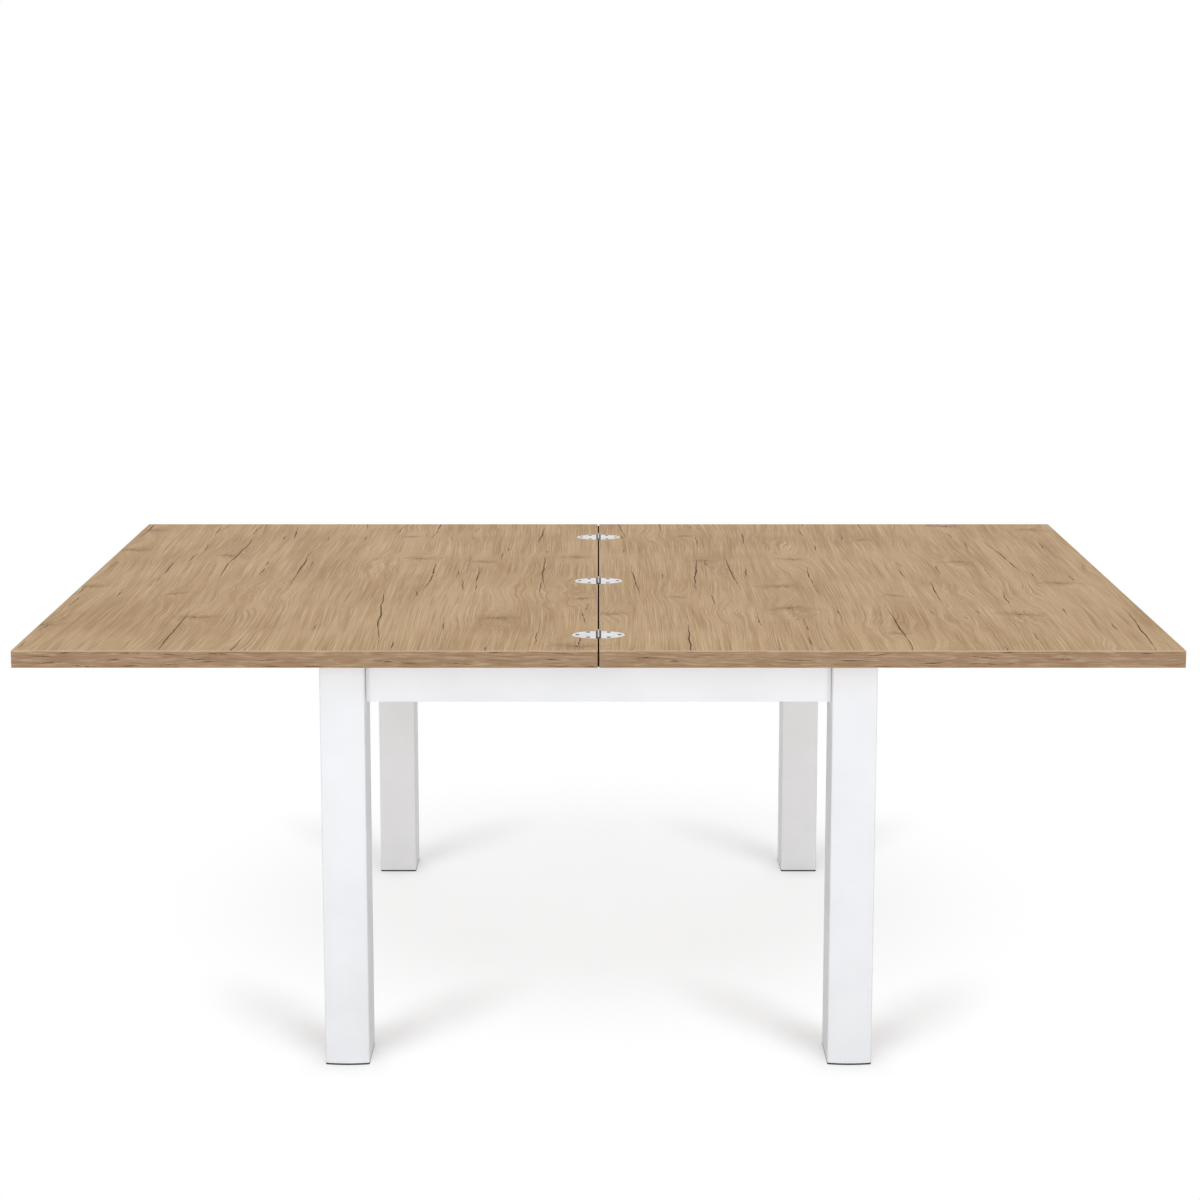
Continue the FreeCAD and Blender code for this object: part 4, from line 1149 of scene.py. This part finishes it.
class BuildScrews(Operator):
    """Screws, nuts, washers and bolts that hold the frame, slides and hinges together"""
    bl_idname = "table.build_screws"
    bl_label = "Screws and bolts"

    def execute(self, context):
        form = context.scene.table_form
        zinc = finish(zinc_plated_steel)
        steel = finish(dulled_screw_steel)
        shank = piece_from(screw_shank(), "shank_pattern", zinc)
        pan = pan_head(form.pan_rise / form.pan_head, form.pan_shank / form.pan_head)
        pan = piece_from(pan, "pan_pattern", zinc)
        flush = piece_from(flush_head(form.flush_shank / form.flush_head), "flush_pattern", steel)
        patterns = [shank, pan, flush]
        chance = {"Seed": form.screw_seed, "Turn": tau}
        for node, body in (
            ("bracket_screws", "frame"),
            ("rail_screws", "frame"),
            ("slide_shoe_screws", "sliding_leaf"),
            ("slide_bracket_screws", "sliding_leaf"),
        ):
            set_fasteners(
                node + "_crossed", screw_seats(node, form.pan_rise), zinc, body, "zinc_steel", node,
                Head=pan, Head_Size=form.pan_head, Shank=shank, Shank_Radius=form.pan_shank, **chance,
            )
        for node, body in (("hinge_screws_left", "sliding_leaf"), ("hinge_screws_right", "folding_leaf")):
            set_fasteners(
                node + "_crossed", screw_seats(node, 0.0), steel, body, "hinge_screw_steel", node,
                Head=flush, Head_Size=form.flush_head, Shank=shank, Shank_Radius=form.flush_shank, **chance,
            )
        bore = form.bolt_radius + form.fit
        for node, maker, sizes in (
            ("hanger_nuts", hex_nut, (form.nut_flats, bore)),
            ("hanger_washers", washer, (form.washer_radius, bore)),
            ("hanger_bolts", threaded_bolt, (form.bolt_radius, form.bolt_pitch)),
        ):
            seats = corner_seats(node)
            shape = piece_from(maker(*sizes, seats[0][2]), node + "_pattern", zinc)
            patterns.append(shape)
            set_fasteners(
                node + "_plated", seats, zinc, "frame", "zinc_steel", node,
                Head=shape, Head_Size=1.0, Shank_Radius=1.0, Seed=form.screw_seed, Turn=0.0,
            )
        for pattern in patterns:
            bpy.data.objects.remove(pattern)
        return {"FINISHED"}


def lamp(name, place, aim, size, power):
    """Large soft lamp that faces a point."""
    data = bpy.data.lights.new(name, "AREA")
    data.shape = "RECTANGLE"
    data.size, data.size_y = size
    data.energy = power
    light = bpy.data.objects.new(name, data)
    light.location = place
    light.rotation_euler = (Vector(aim) - Vector(place)).to_track_quat("-Z", "Y").to_euler()
    bpy.context.scene.collection.objects.link(light)


def seen_directly(tree):
    """One where a ray shows the picture's background, straight or in a reflection, and nought elsewhere."""
    rays = add(tree, RAYS)
    seen = add(tree, LARGER, [rays["Is Camera Ray"], rays["Is Glossy Ray"]])
    return add(tree, LARGER, [seen, rays["Is Transmission Ray"]])


class SetStage(Operator):
    """Pale floor, soft light and the camera"""
    bl_idname = "table.set_stage"
    bl_label = "Stage"

    def execute(self, context):
        stage = context.scene.table_stage
        self.light_room(context.scene, stage)
        self.lay_floor(context.scene, stage)
        across, before, above = stage.key_place
        for name, side in (("left_lamp", -across), ("right_lamp", across)):
            lamp(name, (side, before, above), stage.key_aim, stage.key_size, stage.key_power)
        lamp("top_lamp", stage.top_place, stage.top_aim, stage.top_size, stage.top_power)
        self.set_camera(context.scene, stage)
        context.scene.view_settings.view_transform = "Standard"
        return {"FINISHED"}

    def light_room(self, scene, stage):
        """Soft light from all round, with a strength for each side, that is plain white where it is seen."""
        world = bpy.data.worlds.new("studio")
        tree = empty_tree(world)
        way = add(tree, Kind("ShaderNodeTexCoord", output="Generated"))
        behind = add(tree, ABOVE, [add(tree, SEPARATE, [way])[1], 0.0])
        facing = add(tree, RANGE, [behind, 0.0, 1.0, stage.front_light, stage.rear_light])
        sides = add(tree, COMBINE, [stage.side_light, facing, stage.upper_light])
        strength = add(tree, DOT, [add(tree, PRODUCT, [way, way]), sides])
        around = add(tree, BACKGROUND, [stage.soft_tint, strength])
        white = add(tree, BACKGROUND, [WHITE, 1.0])
        add(tree, SKY, [add(tree, SHADER_BLEND, [seen_directly(tree), around, white])])
        scene.world = world

    def lay_floor(self, scene, stage):
        """Pale floor that takes the table's shade, with a painted white glow over it that lets that shade
        show only in painted shapes, and clear from below.
        """
        reach = stage.floor_reach
        data = bpy.data.meshes.new("studio_floor")
        square = [(x * reach, y * reach, 0) for x, y in ((-1, -1), (1, -1), (1, 1), (-1, 1))]
        data.from_pydata(square, [], [(0, 1, 2, 3)])
        floor = bpy.data.objects.new("studio_floor", data)
        scene.collection.objects.link(floor)
        material = bpy.data.materials.new("studio_floor")
        tree = empty_tree(material)
        paint = add(tree, "ShaderNodeBsdfDiffuse", {"Color": stage.floor_tone})
        white = add(tree, "ShaderNodeEmission", {"Color": WHITE, "Strength": 1.0})
        share = add(tree, TIMES, [seen_directly(tree), self.floor_white(tree, stage)])
        below = add(tree, Kind("ShaderNodeNewGeometry", output="Backfacing"))
        clear = add(tree, "ShaderNodeBsdfTransparent")
        painted = add(tree, SHADER_BLEND, [share, paint, white])
        add(tree, SURFACE, [add(tree, SHADER_BLEND, [below, painted, clear])])
        data.materials.append(material)

    def floor_white(self, tree, stage):
        """Share of painted white glow in the seen floor, which covers its real shade: all of it round about,
        less in a soft patch under the table, and least in the lobes that run back from each foot, so that
        patch and lobes are painted shapes of shadow."""
        place = add(tree, PLACE)
        share = self.soft_patch(
            tree, place, stage.patch_middle, 0.0, stage.patch_size, stage.patch_core, stage.floor_glow,
        )
        lobes = (
            (stage.near_start, stage.near_size, stage.near_glow),
            (stage.far_start, stage.far_size, stage.far_glow),
        )
        for corner in CORNERS:
            low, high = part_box("foot_glide_" + corner)
            foot = ((low + high) / 2).to_2d()
            for turn in (-stage.lobe_turn, stage.lobe_turn):
                for start, size, glow in lobes:
                    middle = foot + start * Vector((sin(turn), cos(turn)))
                    lobe = self.soft_patch(tree, place, middle, turn, size, 0.0, glow)
                    share = add(tree, TIMES, [share, lobe])
        return share

    def soft_patch(self, tree, place, middle, turn, size, core, least):
        """Least inside an oval's core, rising to 1 at its rim; the oval's length is turned away from +Y."""
        oval = {"Vector": place, "Location": (*middle, 0), "Rotation": (0, 0, -turn), "Scale": (*size, 1)}
        away = add(tree, DISTANCE, [add(tree, MAPPING, oval, vector_type="TEXTURE")])
        return add(tree, EASED_RANGE, [away, core, 1.0, least, 1.0])

    def set_camera(self, scene, stage):
        """Camera in front of the table, a little above it."""
        data = bpy.data.cameras.new("camera")
        data.sensor_width = stage.sensor
        data.lens = stage.lens
        data.shift_x = stage.shift_x
        data.shift_y = stage.shift_y
        camera = bpy.data.objects.new("camera", data)
        camera.location = (0, -stage.distance, stage.height)
        camera.rotation_euler = (stage.pitch, 0, 0)
        scene.collection.objects.link(camera)
        scene.camera = camera


GROUPS = {"table_form": TableForm, "table_finishes": TableFinishes, "table_stage": TableStage}
STEPS = (
    BuildLegs, BuildFeet, BuildPads, BuildAprons, DressLeaves, DressHinges, DressSlides, BuildSeamStrip,
    BuildScrews, SetStage,
)


class TablePanel(Panel):
    """Steps that dress the table, with their sizes, colours and light"""
    bl_idname = "VIEW3D_PT_extending_table"
    bl_label = "Extending table"
    bl_space_type = "VIEW_3D"
    bl_region_type = "UI"
    bl_category = "Table"

    def draw(self, context):
        for step in STEPS:
            self.layout.operator(step.bl_idname)
        for name, group in GROUPS.items():
            box = self.layout.box()
            for value in group.__annotations__:
                box.prop(getattr(context.scene, name), value)


CLASSES = (*GROUPS.values(), *STEPS, TablePanel)


def register():
    """Makes the classes known and puts the property groups on the scene."""
    for kind in CLASSES:
        bpy.utils.register_class(kind)
    for name, group in GROUPS.items():
        setattr(bpy.types.Scene, name, PointerProperty(type=group))


def unregister():
    """Takes away what register added."""
    for name in GROUPS:
        delattr(bpy.types.Scene, name)
    for kind in reversed(CLASSES):
        bpy.utils.unregister_class(kind)


def main():
    """Dresses the table step by step."""
    register()
    for step in STEPS:
        group, name = step.bl_idname.split(".")
        getattr(getattr(bpy.ops, group), name)()


if __name__ == "__main__":
    main()
